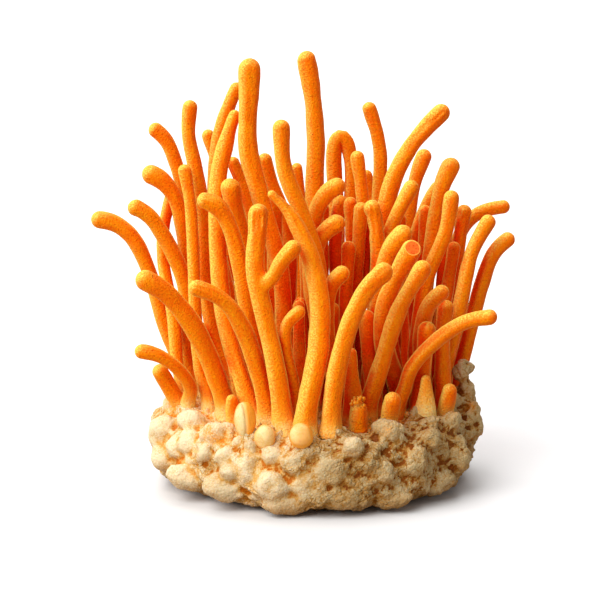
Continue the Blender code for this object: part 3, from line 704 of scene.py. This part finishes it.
def hidden_share(tree, middles, out, radii):
    """How much of the sky is hidden from each corner of a stalk's rings, from 0 to 1."""
    sky = sky_directions()
    body = len(middles) - DOME_ROWS
    rows = np.unique(np.append(np.arange(0, body, 3), body - 1))
    turns = np.arange(0, AROUND, AROUND // 7)
    coarse = np.zeros((len(rows), len(turns)))
    for r, row in enumerate(rows):
        for t, turn in enumerate(turns):
            facing = out[row, turn]
            start = Vector(middles[row] + facing * (radii[row] + LOOK_FROM))
            looks = sky[sky @ facing > 0.1][:LOOKS]
            blocked = [tree.ray_cast(start, Vector(look), LOOK_REACH)[0] is not None for look in looks]
            coarse[r, t] = sum(blocked) / max(len(blocked), 1)
    ringed = np.concatenate([coarse, coarse[:, :1]], axis=1)
    marks = np.append(turns, AROUND)
    along = np.array([np.interp(np.arange(AROUND), marks, line) for line in ringed])
    return np.stack([np.interp(np.arange(len(middles)), rows, column) for column in along.T], axis=1)


def fine_course(middles, radii, sink, over):
    """An evened course through a tube's rings, longer by its sunken foot, with the radius at each point."""
    knots = np.vstack([middles[0] - unit(middles[1] - middles[0]) * sink, middles])
    marks = distances(knots)
    step = 0.25 * MM
    course = evened(curve_through(knots, marks, np.arange(0.0, marks[-1], step)), step, over)
    body = np.concatenate([[radii[0]], radii[:-2], [radii[-3]]])
    body_marks = np.concatenate([[0.0], marks[1:-2], [marks[-1]]])
    return course, np.interp(distances(course), body_marks, body)


def sections(course, radius, taper, flare):
    """Where along a course the rings of the skin lie, and how wide they are. They crowd in the round tip."""
    marks = distances(course)
    whole = marks[-1]
    radius = radius * (1 - taper * np.clip(1 - (whole - marks) / TAPER_REACH, 0, 1) ** 1.3)
    head = radius[-1]
    body = np.linspace(0.0, whole - head, max(8, int(whole / RING_STEP)))
    bend = np.linspace(0.0, math.radians(82), DOME_ROWS + 1)[1:]
    places = np.concatenate([body, whole - head * (1 - np.sin(bend))])
    radii = np.interp(places, marks, radius)
    radii[len(body):] *= np.cos(bend)
    back = (whole - places) / head
    swell, neck = (share * bell(back - middle, reach) for share, middle, reach in (HEAD_SWELL, HEAD_NECK))
    radii *= 1 + swell - neck
    radii *= 1 + flare * np.exp(-places / FLARE_REACH)
    return places, read_along(places, marks, course), radii, whole


def uneven(surface, turn, places, whole, seed, folds):
    """How much each corner of a stalk's skin stands out or in, as a share of the radius there."""
    rows = len(places)
    along = np.repeat(places, AROUND)
    round_it = np.tile(1.7 * np.stack([np.cos(turn), np.sin(turn)]), rows)
    fluted = np.stack([*round_it, along / (14 * MM)], axis=1)
    relief = 0.065 * soft_noise(surface, 8 * MM, seed)
    relief += 0.038 * soft_noise(surface, 3.0 * MM, seed + 70)
    relief += 0.060 * soft_noise(fluted, 1.0, seed + 140)
    creases = (1 - np.abs(soft_noise(fluted * (2.0, 2.0, 2.6), 1.0, seed + 30))) ** 3
    relief -= folds * bell(whole - along, 9 * MM) * creases
    relief *= np.clip((whole - along) / (2 * MM), 0.3, 1)
    relief += 0.014 * soft_noise(surface, 1.3 * MM, seed + 210)
    foot = np.exp(-along / (3.0 * MM))
    return relief + 0.13 * foot * soft_noise(surface, 1.5 * MM, seed + 280)


def tube_faces(rows):
    """Faces of a skin of this many rings, closed at both ends by one corner each."""
    faces = []
    for row in range(rows - 1):
        for k in range(AROUND):
            after = (k + 1) % AROUND
            low, high = row * AROUND, (row + 1) * AROUND
            faces.append((low + k, low + after, high + after, high + k))
    tip, foot = rows * AROUND, rows * AROUND + 1
    for k in range(AROUND):
        after = (k + 1) % AROUND
        faces.append(((rows - 1) * AROUND + k, (rows - 1) * AROUND + after, tip))
        faces.append((after, k, foot))
    return faces


def stalk_piece(name, rings, number, material, tree,
                taper=0.0, flare=0.20, sink=SINK, paleness=None, shade=1.0):
    """A stalk at full detail: an uneven, softly fluted finger with a rounded head and a flared foot."""
    course, radius = fine_course(*rings, sink, ARCH_EVENING if name == ARCH else EVENING)
    radius = radius * STOUTER.get(name, 1.0)
    if paleness is None:
        paleness = float(np.clip(0.72 - course[0][0] / (55 * MM), 0.35, 1.0))
    places, middles, radii, whole = sections(course, radius, taper, flare)
    heading, sides, ups = carried_frames(middles)
    turn = np.arange(AROUND) * 2 * math.pi / AROUND
    out = sides[:, None, :] * np.cos(turn)[None, :, None] + ups[:, None, :] * np.sin(turn)[None, :, None]
    surface = (middles[:, None, :] + out * radii[:, None, None]).reshape(-1, 3)
    folds = WRINKLED.get(name, 0.0)
    relief = uneven(surface, turn, places, whole, number, folds).reshape(len(places), AROUND)
    surface = middles[:, None, :] + out * (radii[:, None] * (1 + relief))[:, :, None]
    apex = middles[-1] + heading[-1] * radii[-1] * 0.15
    vertices = np.vstack([surface.reshape(-1, 3), apex[None, :], middles[:1]])
    piece = new_piece(name + "_flesh", vertices, tube_faces(len(places)), material)

    along = np.concatenate([np.repeat(places, AROUND), [whole, 0.0]])
    wide = np.concatenate([np.repeat(radii, AROUND), [0.0, 0.0]]) / MM
    spin = np.concatenate([np.tile(turn, len(places)), [0.0, 0.0]])
    straight = np.stack([wide * np.cos(spin), wide * np.sin(spin), along / MM * 0.22], axis=1)
    dice = np.random.default_rng(number + 5)
    reach = dice.uniform(*FOOT_REACH) * max(paleness, 0.1)
    above = np.maximum(vertices[:, 2] - CAKE_TOP - FOOT_LIFT, 0)
    # the share of sky hidden from each corner, which drives the painted shade
    hidden = hidden_share(tree, middles, out, radii).ravel() * shade
    put(piece.data, straight=straight + (number * 13.7, 0, 0),
        foot=np.exp(-above / reach) * min(paleness, 1.0),
        deep=np.concatenate([hidden, [hidden[-1], 1.0]]),
        head=np.clip(1 - (whole - along) / HEAD_REACH, 0, 1),
        tint=np.full(len(vertices), dice.uniform(-0.5, 0.5)),
        edge=np.zeros(len(vertices)))
    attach(piece, "root")
    return piece, middles[-1], radius[-1]


def slice_tip(piece, tip, head, material):
    """Cut the tip off flat and close the cut with flesh."""
    mesh = piece.data
    mesh.materials.append(material)
    shape = bmesh.new()
    shape.from_mesh(mesh)
    edge = shape.verts.layers.float["edge"]
    at = Vector(tip) - SLICE_FACES * head * SLICE_BACK
    everything = list(shape.verts) + list(shape.edges) + list(shape.faces)
    cut = bmesh.ops.bisect_plane(shape, geom=everything, plane_co=at, plane_no=SLICE_FACES, clear_outer=True)
    ring = [thing for thing in cut["geom_cut"] if isinstance(thing, bmesh.types.BMEdge)]
    for thing in ring:
        for vertex in thing.verts:
            vertex[edge] = 1.0
    lid = bmesh.ops.holes_fill(shape, edges=ring, sides=0)["faces"]
    poked = bmesh.ops.poke(shape, faces=lid)
    for vertex in poked["verts"]:
        vertex[edge] = 0.0
    for face in poked["faces"]:
        face.material_index = 1
        face.smooth = False
    shape.to_mesh(mesh)
    shape.free()


def stalks(flesh, cut, tree):
    made = {}
    for number, name in enumerate(STALK_NODES):
        if name == FORK:
            made[name], tip, head = stalk_piece(name, rooted_fork(), number, flesh, tree,
                                                sink=FORK_FOOT, paleness=0.0)
            continue
        made[name], tip, head = stalk_piece(name, stalk_rings(name), number, flesh, tree,
                                            taper=TAPERS.get(name, 0.0))
        if name == SLICED:
            slice_tip(made[name], tip, head, cut)
        if name != TRUNK:
            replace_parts(made[name], name)
    junction = stalk_rings(FORK)[0][0]
    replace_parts(grown_together(made[TRUNK], made[FORK], junction, flesh), TRUNK, FORK)


def tip_nearest(young, place):
    """The number of the young stalk whose tip lies nearest to this x and y, in mm."""
    return min(range(len(young)), key=lambda k: math.dist(young[k][0][-1][:2] / MM, place))


def young_stalks(young, flesh, tree):
    own = {tip_nearest(young, PALE_CONE): CONE_PALENESS, tip_nearest(young, STUMP): STUMP_PALENESS}
    for number, rings in enumerate(young):
        if number == tip_nearest(young, CRUST_KNOB):
            continue
        stalk_piece(f"young_{number:02}", rings, number + 100, flesh, tree, flare=0.15, sink=YOUNG_SINK,
                    paleness=own.get(number, YOUNG_PALENESS),
                    shade=SHORT_SHADE if rings[0][-1][2] < YOUNG_SHORT else 1.0)


def orange_crumbs(young, material):
    """Specks of orange flesh heaped on the stump."""
    dice = np.random.default_rng(8)
    tip = young[tip_nearest(young, STUMP)][0][-1]
    places = [tip + dice.normal(0, 0.85 * MM, 3) * (1, 1, 0.45) for _ in range(16)]
    size = dice.uniform(0.30, 0.62, (len(places), 1)) * MM
    vertices, faces = uneven_balls(places, size, ball_template(2), dice, 0.3)
    piece = new_piece("stump_crumbs", vertices, faces.tolist(), material)
    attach(piece, "root")


# The cake


def ball_template(detail):
    ball = bmesh.new()
    bmesh.ops.create_icosphere(ball, subdivisions=detail, radius=1.0)
    corners, faces = triangles_of(ball)
    ball.free()
    return corners, faces


def scattered_on(corners, triangles, count, spacing, dice, keep):
    """Places spread over a surface, no two nearer than the spacing, with the outward direction at each."""
    a, b, c = corners[triangles[:, 0]], corners[triangles[:, 1]], corners[triangles[:, 2]]
    square = np.cross(b - a, c - a)
    area = lengths(square)
    pick = dice.choice(len(area), count, p=area / area.sum())
    u, v = dice.random(count), dice.random(count)
    over = u + v > 1
    u, v = np.where(over, 1 - u, u), np.where(over, 1 - v, v)
    places = a[pick] + (b - a)[pick] * u[:, None] + (c - a)[pick] * v[:, None]
    facing = square[pick] / area[pick][:, None]
    fits = keep(places, facing)
    places, facing = places[fits], facing[fits]
    taken, cells = [], {}
    for k, place in enumerate(places):
        cell = np.floor(place / spacing).astype(int)
        near = [q for step in np.ndindex(3, 3, 3) for q in cells.get(tuple(cell + step - 1), ())]
        if all(np.sum((places[q] - place) ** 2) >= spacing**2 for q in near):
            cells.setdefault(tuple(cell), []).append(k)
            taken.append(k)
    return places[taken], facing[taken]


def uneven_balls(middles, axes, template, dice, unevenness):
    """Many lumps at once, each a ball stretched along its own axes and made uneven."""
    ball, faces = template
    vertices, joined = [], []
    for k, (middle, axis) in enumerate(zip(middles, axes)):
        turned = np.linalg.qr(dice.normal(size=(3, 3)))[0]
        shape = (ball * axis) @ turned.T
        shape *= (1 + unevenness * soft_noise(ball * 1.7 + k * 3.1, 1.0, 5))[:, None]
        joined.append(faces + k * len(ball))
        vertices.append(shape + middle)
    return np.vstack(vertices), np.vstack(joined)


# Lumps that show clearly on the crust: where, their width and height there, all in the photograph's pixels,
# their lean in degrees, and how much of their depth stands proud of the plain cake
LUMPS = (
    ((429, 422), 26, 15, -8, 0.45),
    ((189, 442), 25, 26, 0, 0.55),
    ((191, 419), 32, 25, -10, 0.50),
    ((162, 432), 30, 38, 8, 0.50),
    ((175, 447), 22, 26, 0, 0.35),
    ((227, 427), 19, 15, 0, 0.55),
    ((223, 455), 24, 17, -25, 0.60),
    ((204, 453), 15, 22, 35, 0.55),
    ((229, 471), 21, 19, 30, 0.60),
    ((246, 470), 20, 38, 0, 0.50),
    ((272, 486), 32, 32, -20, 0.50),
    ((190, 462), 10, 18, -20, 0.55),
    ((208, 434), 22, 18, 0, 0.50),
    ((293, 461), 16, 14, 0, 0.55),
    ((272, 455), 24, 20, 20, 0.45),
    ((353, 446), 23, 24, 0, 0.60),
    ((330, 470), 34, 30, 0, 0.40),
    ((380, 472), 30, 28, 0, 0.45),
    ((388, 430), 36, 26, 10, 0.45),
    ((430, 437), 24, 24, 0, 0.55),
    ((452, 420), 24, 22, -30, 0.50),
    ((418, 414), 24, 18, 10, 0.50),
    ((475, 410), 13, 27, 5, 0.55),
    ((468, 390), 18, 22, 20, 0.55),
    ((452, 400), 20, 22, 0, 0.55),
    ((415, 462), 28, 34, 25, 0.45),
    ((458, 458), 28, 32, 0, 0.45),
    ((172, 402), 22, 18, -10, 0.60),
    ((164, 458), 28, 28, 0, 0.50),
    ((238, 440), 12, 10, 0, 0.55),
    ((250, 448), 12, 24, -20, 0.50),
    ((213, 432), 26, 26, 0, 0.45),
    ((183, 478), 40, 26, 25, 0.45),
    ((222, 488), 46, 30, 15, 0.50),
    ((285, 505), 50, 24, 0, 0.45),
    ((340, 498), 46, 26, 0, 0.40),
    ((395, 497), 44, 26, -10, 0.45),
    ((438, 482), 40, 26, -25, 0.45),
    ((305, 485), 30, 24, 0, 0.35),
)

# Orange stains: where they lie in the photograph's pixels, how far they reach in mm and how strong they are
STAINS = (((213, 432), 4.6, 0.9), ((176, 402), 4.4, 1.0), ((171, 416), 3.0, 1.0), ((234, 393), 2.4, 1.0),
          ((353, 416), 4.4, 0.9), ((318, 428), 3.0, 0.9), ((262, 424), 2.0, 0.7), ((388, 430), 3.4, 0.40),
          ((202, 414), 3.0, 0.6), ((450, 398), 2.8, 0.9), ((470, 405), 3.0, 0.5))


def eye_point():
    """Where the photograph's eye stands."""
    across = ORIGIN_PIXEL[0] - FRAME_PIXELS / 2
    below = ORIGIN_PIXEL[1] - FRAME_PIXELS / 2
    lift = below * PIXEL
    return Vector((-across * PIXEL, -math.cos(VIEW_TILT) * VIEW_DISTANCE + math.sin(VIEW_TILT) * lift,
                   math.sin(VIEW_TILT) * VIEW_DISTANCE + math.cos(VIEW_TILT) * lift))


def sight(pixel):
    """The direction in which the eye sees a pixel of the photograph."""
    across = (pixel[0] - FRAME_PIXELS / 2) * PIXEL
    above = (FRAME_PIXELS / 2 - pixel[1]) * PIXEL
    ahead = Vector((0, math.cos(VIEW_TILT), -math.sin(VIEW_TILT))) * VIEW_DISTANCE
    up = Vector((0, math.sin(VIEW_TILT), math.cos(VIEW_TILT)))
    return (ahead + Vector((1, 0, 0)) * across + up * above).normalized()


def seen_ball(tree, ball, pixel, wide, high, lean, proud, seed, uneven=0.16):
    """A ball as wide and high as given in pixels, set into the surface where the eye sees that pixel."""
    looks = [tree.ray_cast(eye_point(), sight((pixel[0], pixel[1] + high * lower))) for lower in (0.0, 0.3)]
    depth = min((look[3] for look in looks if look[0] is not None), default=None)
    if depth is None:
        return None
    hit = eye_point() + sight(pixel) * depth
    scale = PIXEL * depth / VIEW_DISTANCE / 2
    half = np.array([wide, 0.85 * min(wide, high), high]) * scale
    cos, sin = math.cos(math.radians(lean)), math.sin(math.radians(lean))
    tilt = np.array([[cos, 0, sin], [0, 1, 0], [-sin, 0, cos]])
    shape = ball * half * (1 + uneven * soft_noise(ball * 1.6 + seed * 5.3, 1.0, 31))[:, None]
    return shape @ tilt.T + np.array(hit) + np.array(sight(pixel)) * half[1] * (1 - 2 * proud)


def foot_collars(dice):
    """Crumbs that climb a little way up each stalk."""
    places = []
    for middles, radii in [stalk_rings(name) for name in STALK_NODES if name != FORK]:
        for turn in dice.uniform(0, 2 * math.pi, 8):
            away = radii[0] + dice.uniform(0.0, 0.8) * MM
            lift = dice.uniform(-1.1, 0.5) * MM
            places.append(middles[0] + (math.cos(turn) * away, math.sin(turn) * away, lift))
    size = dice.uniform(0.55, 1.15, (len(places), 1)) * MM
    return uneven_balls(places, size, ball_template(2), dice, 0.25)


def crust_seeds(corners, faces, outward, young):
    """Lumps, crumbs and a core that make up the cake, before they are drawn into one skin."""
    dice = np.random.default_rng(41)
    reach = (CAKE_HIGH.x - CAKE_LOW.x) / 2

    def showing(places, facing):
        return (facing[:, 2] > -0.75) & (places[:, 2] > SKIRT)

    places, facing = scattered_on(corners, faces, GRAIN_TRIES, GRAIN_SPACING, dice, showing)
    size = dice.uniform(*GRAIN_RADIUS, len(places))
    on_top = (facing[:, 2] > 0.6) & (np.hypot(places[:, 0], places[:, 1]) < 0.82 * reach)
    size = np.where(on_top, size * TOP_GRAINS, size)
    axes = size[:, None] * dice.uniform(0.68, 1.0, (len(size), 3))
    sunk = np.where(on_top, 0.80, 0.66)
    grains = uneven_balls(places - facing * (size * sunk)[:, None], axes, ball_template(3), dice, 0.28)

    places, facing = scattered_on(corners, faces, CRUMB_TRIES, CRUMB_SPACING, dice, showing)
    size = dice.uniform(*CRUMB_RADIUS, len(places))[:, None]
    lift = dice.uniform(-0.6, 0.3, (len(places), 1)) * size
    axes = size * dice.uniform(0.7, 1.0, (len(places), 3))
    crumbs = uneven_balls(places + facing * lift, axes, ball_template(2), dice, 0.2)

    tree = BVHTree.FromPolygons(corners.tolist(), faces.tolist())
    ball, ball_faces = ball_template(3)
    seen = []
    for number, lump in enumerate(LUMPS):
        shape = seen_ball(tree, ball, *lump, number)
        if shape is not None:
            seen.append((shape, ball_faces))
    knob = young[tip_nearest(young, CRUST_KNOB)]
    marks = distances(knob[0])
    along = np.linspace(0, marks[-1], 12)
    middles = read_along(along, marks, knob[0])
    thick = np.interp(along, marks, np.concatenate([knob[1][:-2], [knob[1][-3]] * 2])) * 0.95
    middles += dice.normal(0, 0.35 * MM, middles.shape)
    heap = uneven_balls(middles - (0, 0, 1.2 * MM), thick[:, None], ball_template(2), dice, 0.25)

    depth = np.where(corners[:, 2] < 0.01 * MM, 0.0, 0.35 * MM)
    core = corners - outward * depth[:, None]
    return [grains, crumbs, foot_collars(dice), heap, (core, faces)], seen


def joined(parts):
    vertices, faces, start = [], [], 0
    for part_vertices, part_faces in parts:
        vertices.append(part_vertices)
        faces.append(part_faces + start)
        start += len(part_vertices)
    return np.vstack(vertices), np.vstack(faces)


def smoothed(values, edges, rounds):
    """Values averaged with their neighbours, this many times."""
    one, two = edges[:, 0], edges[:, 1]
    count = len(values)
    degree = np.maximum(np.bincount(one, minlength=count) + np.bincount(two, minlength=count), 1)
    for _ in range(rounds):
        total = [np.bincount(one, column[two], count) + np.bincount(two, column[one], count)
                 for column in values.T]
        values = 0.5 * values + 0.5 * np.stack(total, axis=1) / degree[:, None]
    return values


def one_skin(vertices, triangles, voxel):
    """The union of many overlapping closed shapes: its corners, their normals, its edges and faces."""
    mesh = bpy.data.meshes.new("lumps")
    mesh.from_pydata(vertices.tolist(), [], triangles.tolist())
    lumps = bpy.data.objects.new("lumps", mesh)
    bpy.context.scene.collection.objects.link(lumps)
    remesh = lumps.modifiers.new("one skin", "REMESH")
    remesh.mode = "VOXEL"
    remesh.voxel_size = voxel
    skin = bpy.data.meshes.new_from_object(lumps.evaluated_get(bpy.context.evaluated_depsgraph_get()))
    bpy.data.objects.remove(lumps)
    bpy.data.meshes.remove(mesh)
    places, facing = read(skin.vertices, "co", 3).astype(float), read(skin.vertices, "normal", 3)
    edges = read(skin.edges, "vertices", 2, np.int32)
    faces = read(skin.loops, "vertex_index", 1, np.int32).reshape(-1, 4)
    bpy.data.meshes.remove(skin)
    return places, facing, edges, faces


def filled(places, facing, edges):
    """The skin with the wide hollows between its lumps filled up most of the way."""
    broad = smoothed(places, edges, BROAD_ROUNDS)
    depth = ((broad - places) * facing).sum(axis=1)
    kept = HOLLOW_KEPT * np.tanh(depth / HOLLOW_KEPT)
    return places + facing * np.where(depth > 0, depth - kept, 0.35 * depth)[:, None]


def crumbled(places, facing, pale):
    """The skin broken into crumbs: sharper towards the right, smoother on the pale lumps and to the left."""
    broken = np.clip(places[:, 0] / (60 * MM) + 0.85 + 0.40 * soft_noise(places, 6 * MM, 33), 0.40, 1.15)
    broken *= 1 - pale * np.clip(0.60 - places[:, 0] / (55 * MM), 0.20, 0.90)
    bent = places + 0.5 * MM * np.stack([soft_noise(places, 1.6 * MM, k) for k in (81, 82, 83)], axis=1)
    lift = 0.22 * MM * soft_noise(places, 2.0 * MM, 12) - 0.10 * MM
    tone = np.zeros(len(places))
    for size, height, share, seed in CRUMBS:
        away, own, slope = cell_noise(bent, size, seed)
        lift += broken * height * (0.40 - 0.75 * away + 0.30 * (own - 0.5) + 0.8 * slope)
        tone += share * own
    return places + facing * lift[:, None], tone


def softly_within(places):
    """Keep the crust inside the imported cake's box. What would reach out is drawn in, unevenly."""
    ease = (0.9 + 0.6 * soft_noise(places, 3 * MM, 91)[:, None]) * MM
    low, high = np.array(CAKE_LOW), np.array(CAKE_HIGH)
    beyond = np.maximum(places - (high - ease), 0)
    places = np.where(beyond > 0, high - ease * np.exp(-beyond / ease), places)
    beyond = np.maximum(low + ease - places, 0)
    beyond[:, 2] = 0
    places = np.where(beyond > 0, low + ease * np.exp(-beyond / ease), places)
    return np.clip(places, low, high)


def cake_piece(seeds, seen, material):
    """The crust: lumps, crumbs and core drawn into one skin, crumbled, flat underneath."""
    places, facing, edges, faces = one_skin(*joined(seeds), CRUST_VOXEL)
    pale = np.zeros(len(places))
    for shape, shape_faces in seen:
        middle = shape.mean(axis=0)
        reach = lengths(shape - middle).mean()
        pale = np.maximum(pale, np.clip(3.2 - 2.2 * lengths(places - middle) / reach, 0, 1))
    places = filled(smoothed(places, edges, 1), facing, edges)
    places, tone = crumbled(places, facing, pale)
    places = softly_within(places)
    places[:, 2] = np.where(places[:, 2] < 0.35 * MM, 0.0, places[:, 2])
    piece = new_piece("grain_crust", places, faces.tolist(), material)

    # how far each spot lies in a hollow, for the painted shade there
    fine = smoothed(places, edges, 3)
    broad = smoothed(fine, edges, 30)
    near = ((fine - places) * facing).sum(axis=1) / (0.15 * MM)
    far = ((broad - places) * facing).sum(axis=1) / (0.80 * MM)
    # faces turned down, which take painted shade
    under = np.clip(-1.1 * facing[:, 2] - 0.05, 0, 1)
    # browner and painted darker towards the right, the side away from the light
    ripe = np.clip(places[:, 0] / (34 * MM) + 0.55, 0, 1) + 0.40 * soft_noise(places, 8 * MM, 21)
    tree = BVHTree.FromPolygons(places.tolist(), faces.tolist())
    stain = np.zeros(len(places))
    for pixel, reach, strength in STAINS:
        hit = tree.ray_cast(eye_point(), sight(pixel))[0]
        if hit:
            away = lengths(places - np.array(hit)) / (reach * MM)
            stain = np.maximum(stain, strength * np.clip(1.1 - away, 0, 1) ** 1.3)
    inner = 1 - np.hypot(places[:, 0], places[:, 1]) / (31 * MM)
    top = np.clip((places[:, 2] - 15 * MM) / (2 * MM), 0, 1)
    put(piece.data, crevice=np.clip(0.40 * near + 0.60 * far, -0.8, 1.5), crumb_tone=tone, pale=pale,
        low=np.maximum(np.clip(1 - places[:, 2] / (5.5 * MM), 0, 1), 0.85 * under),
        ripe=np.clip(ripe, 0, 1), stain=np.maximum(stain, np.clip(inner * 4, 0, 0.75) * top))
    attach(piece, "root")
    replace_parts(piece, CAKE)
    return tree


# Smooth kernels that lie on the crust, as the lumps above, with how golden each is, from 0 to 1
KERNELS = (
    (((301, 436), 24, 26, 0, 0.66), 0.75, 0.0),
    (((265, 437), 21, 26, 8, 0.50), 0.15, 0.0),
    (((245, 420), 22, 38, -4, 0.50), 1.00, 0.16),
)


def kernels_piece(tree, material):
    """The smooth grains, each set into the crust where the photograph shows it, one cleft like a bean."""
    ball, faces = ball_template(5)
    shapes, triangles, gold = [], [], []
    for number, (lump, golden, cleft) in enumerate(KERNELS):
        across = ball[:, 0] - 0.12 + 0.20 * ball[:, 2] ** 2
        groove = cleft * bell(across, 0.13) * np.clip(-2 * ball[:, 1], 0, 1)
        shape = seen_ball(tree, ball * (1 - groove)[:, None], *lump, number + 50, 0.06)
        if shape is not None:
            # golder towards the right and the bottom; the bean is golden to the right of its cleft
            side = 0.80 + 0.45 * ball[:, 0] - 0.35 * ball[:, 2]
            if cleft:
                side = np.clip(across * 3.0 + 0.3, 0, 1)
            gold.append(np.clip(golden * side, 0, 1))
            triangles.append(faces + len(shapes) * len(ball))
            shapes.append(shape)
    piece = new_piece("grain_kernels", np.vstack(shapes), np.vstack(triangles).tolist(), material)
    put(piece.data, gold=np.concatenate(gold))
    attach(piece, "root")


# Floor, light and camera

PAPER_SEEN = (0.75, 0.75, 0.75, 1)    # the paper as the eye meets it
PAPER_FELT = (0.42, 0.39, 0.35, 1)    # and as it lights the fungus
WORLD_LIGHT = 0.34                    # the room's light on the fungus, beside what the eye sees of it
LAMPS = (                             # each one's direction, strength and spread in degrees
    ("window", (-0.70, -0.66, 0.88), 3.55, 58),
    ("ceiling", (-0.06, 0.55, 1.0), 2.7, 60),
)


def paper_floor():
    """White paper, exposed so that it just turns white where nothing shades it."""
    bpy.ops.mesh.primitive_plane_add(size=8.0, location=(0, 0, 0))
    floor = bpy.context.object
    floor.name = "paper_floor"
    material, tree, shader = new_material("white_paper")
    seen = add(tree, "ShaderNodeLightPath").outputs["Is Camera Ray"]
    feed(tree, shader.inputs, Base_Color=blend(tree, seen, PAPER_FELT, PAPER_SEEN),
         Roughness=0.9, Specular_IOR_Level=0.05)
    floor.data.materials.append(material)


def studio():
    """A white room that lights less than it shows, and two soft lamps."""
    world = bpy.data.worlds.new("white studio")
    world.use_nodes = True
    tree = world.node_tree
    backdrop = tree.nodes["Background"]
    backdrop.inputs["Color"].default_value = (1, 1, 1, 1)
    seen = add(tree, "ShaderNodeLightPath").outputs["Is Camera Ray"]
    strength = add(tree, "ShaderNodeMapRange", None, (seen, 0.0, 1.0, WORLD_LIGHT, 1.0)).outputs[0]
    tree.links.new(strength, backdrop.inputs["Strength"])
    scene = bpy.context.scene
    scene.world = world
    for name, direction, strength, spread in LAMPS:
        light = bpy.data.lights.new(name, "SUN")
        light.energy = strength
        light.angle = math.radians(spread)
        holder = bpy.data.objects.new(name, light)
        holder.rotation_euler = Vector(direction).to_track_quat("Z", "Y").to_euler()
        scene.collection.objects.link(holder)
    scene.view_settings.view_transform = "Standard"
    scene.view_settings.look = "None"


def camera():
    lens = bpy.data.cameras.new("camera")
    lens.sensor_width = SENSOR
    lens.lens = SENSOR * VIEW_DISTANCE / (FRAME_PIXELS * PIXEL)
    lens.clip_start = 0.01
    holder = bpy.data.objects.new("camera", lens)
    holder.location = eye_point()
    holder.rotation_euler = (math.pi / 2 - VIEW_TILT, 0, 0)
    bpy.context.scene.collection.objects.link(holder)
    bpy.context.scene.camera = holder


def dress():
    velvet = velvet_group()
    flesh = stalk_material(velvet)
    packed = packed_tree()
    stalks(flesh, cut_material(velvet), packed)
    corners, faces, outward, young = bare_cake()
    young_stalks(young, flesh, packed)
    orange_crumbs(young, flesh)
    seeds, seen = crust_seeds(corners, faces, outward, young)
    tree = cake_piece(seeds + seen, seen, crust_material(crumble_group()))
    kernels_piece(tree, kernel_material(velvet))
    paper_floor()
    studio()
    camera()


dress()
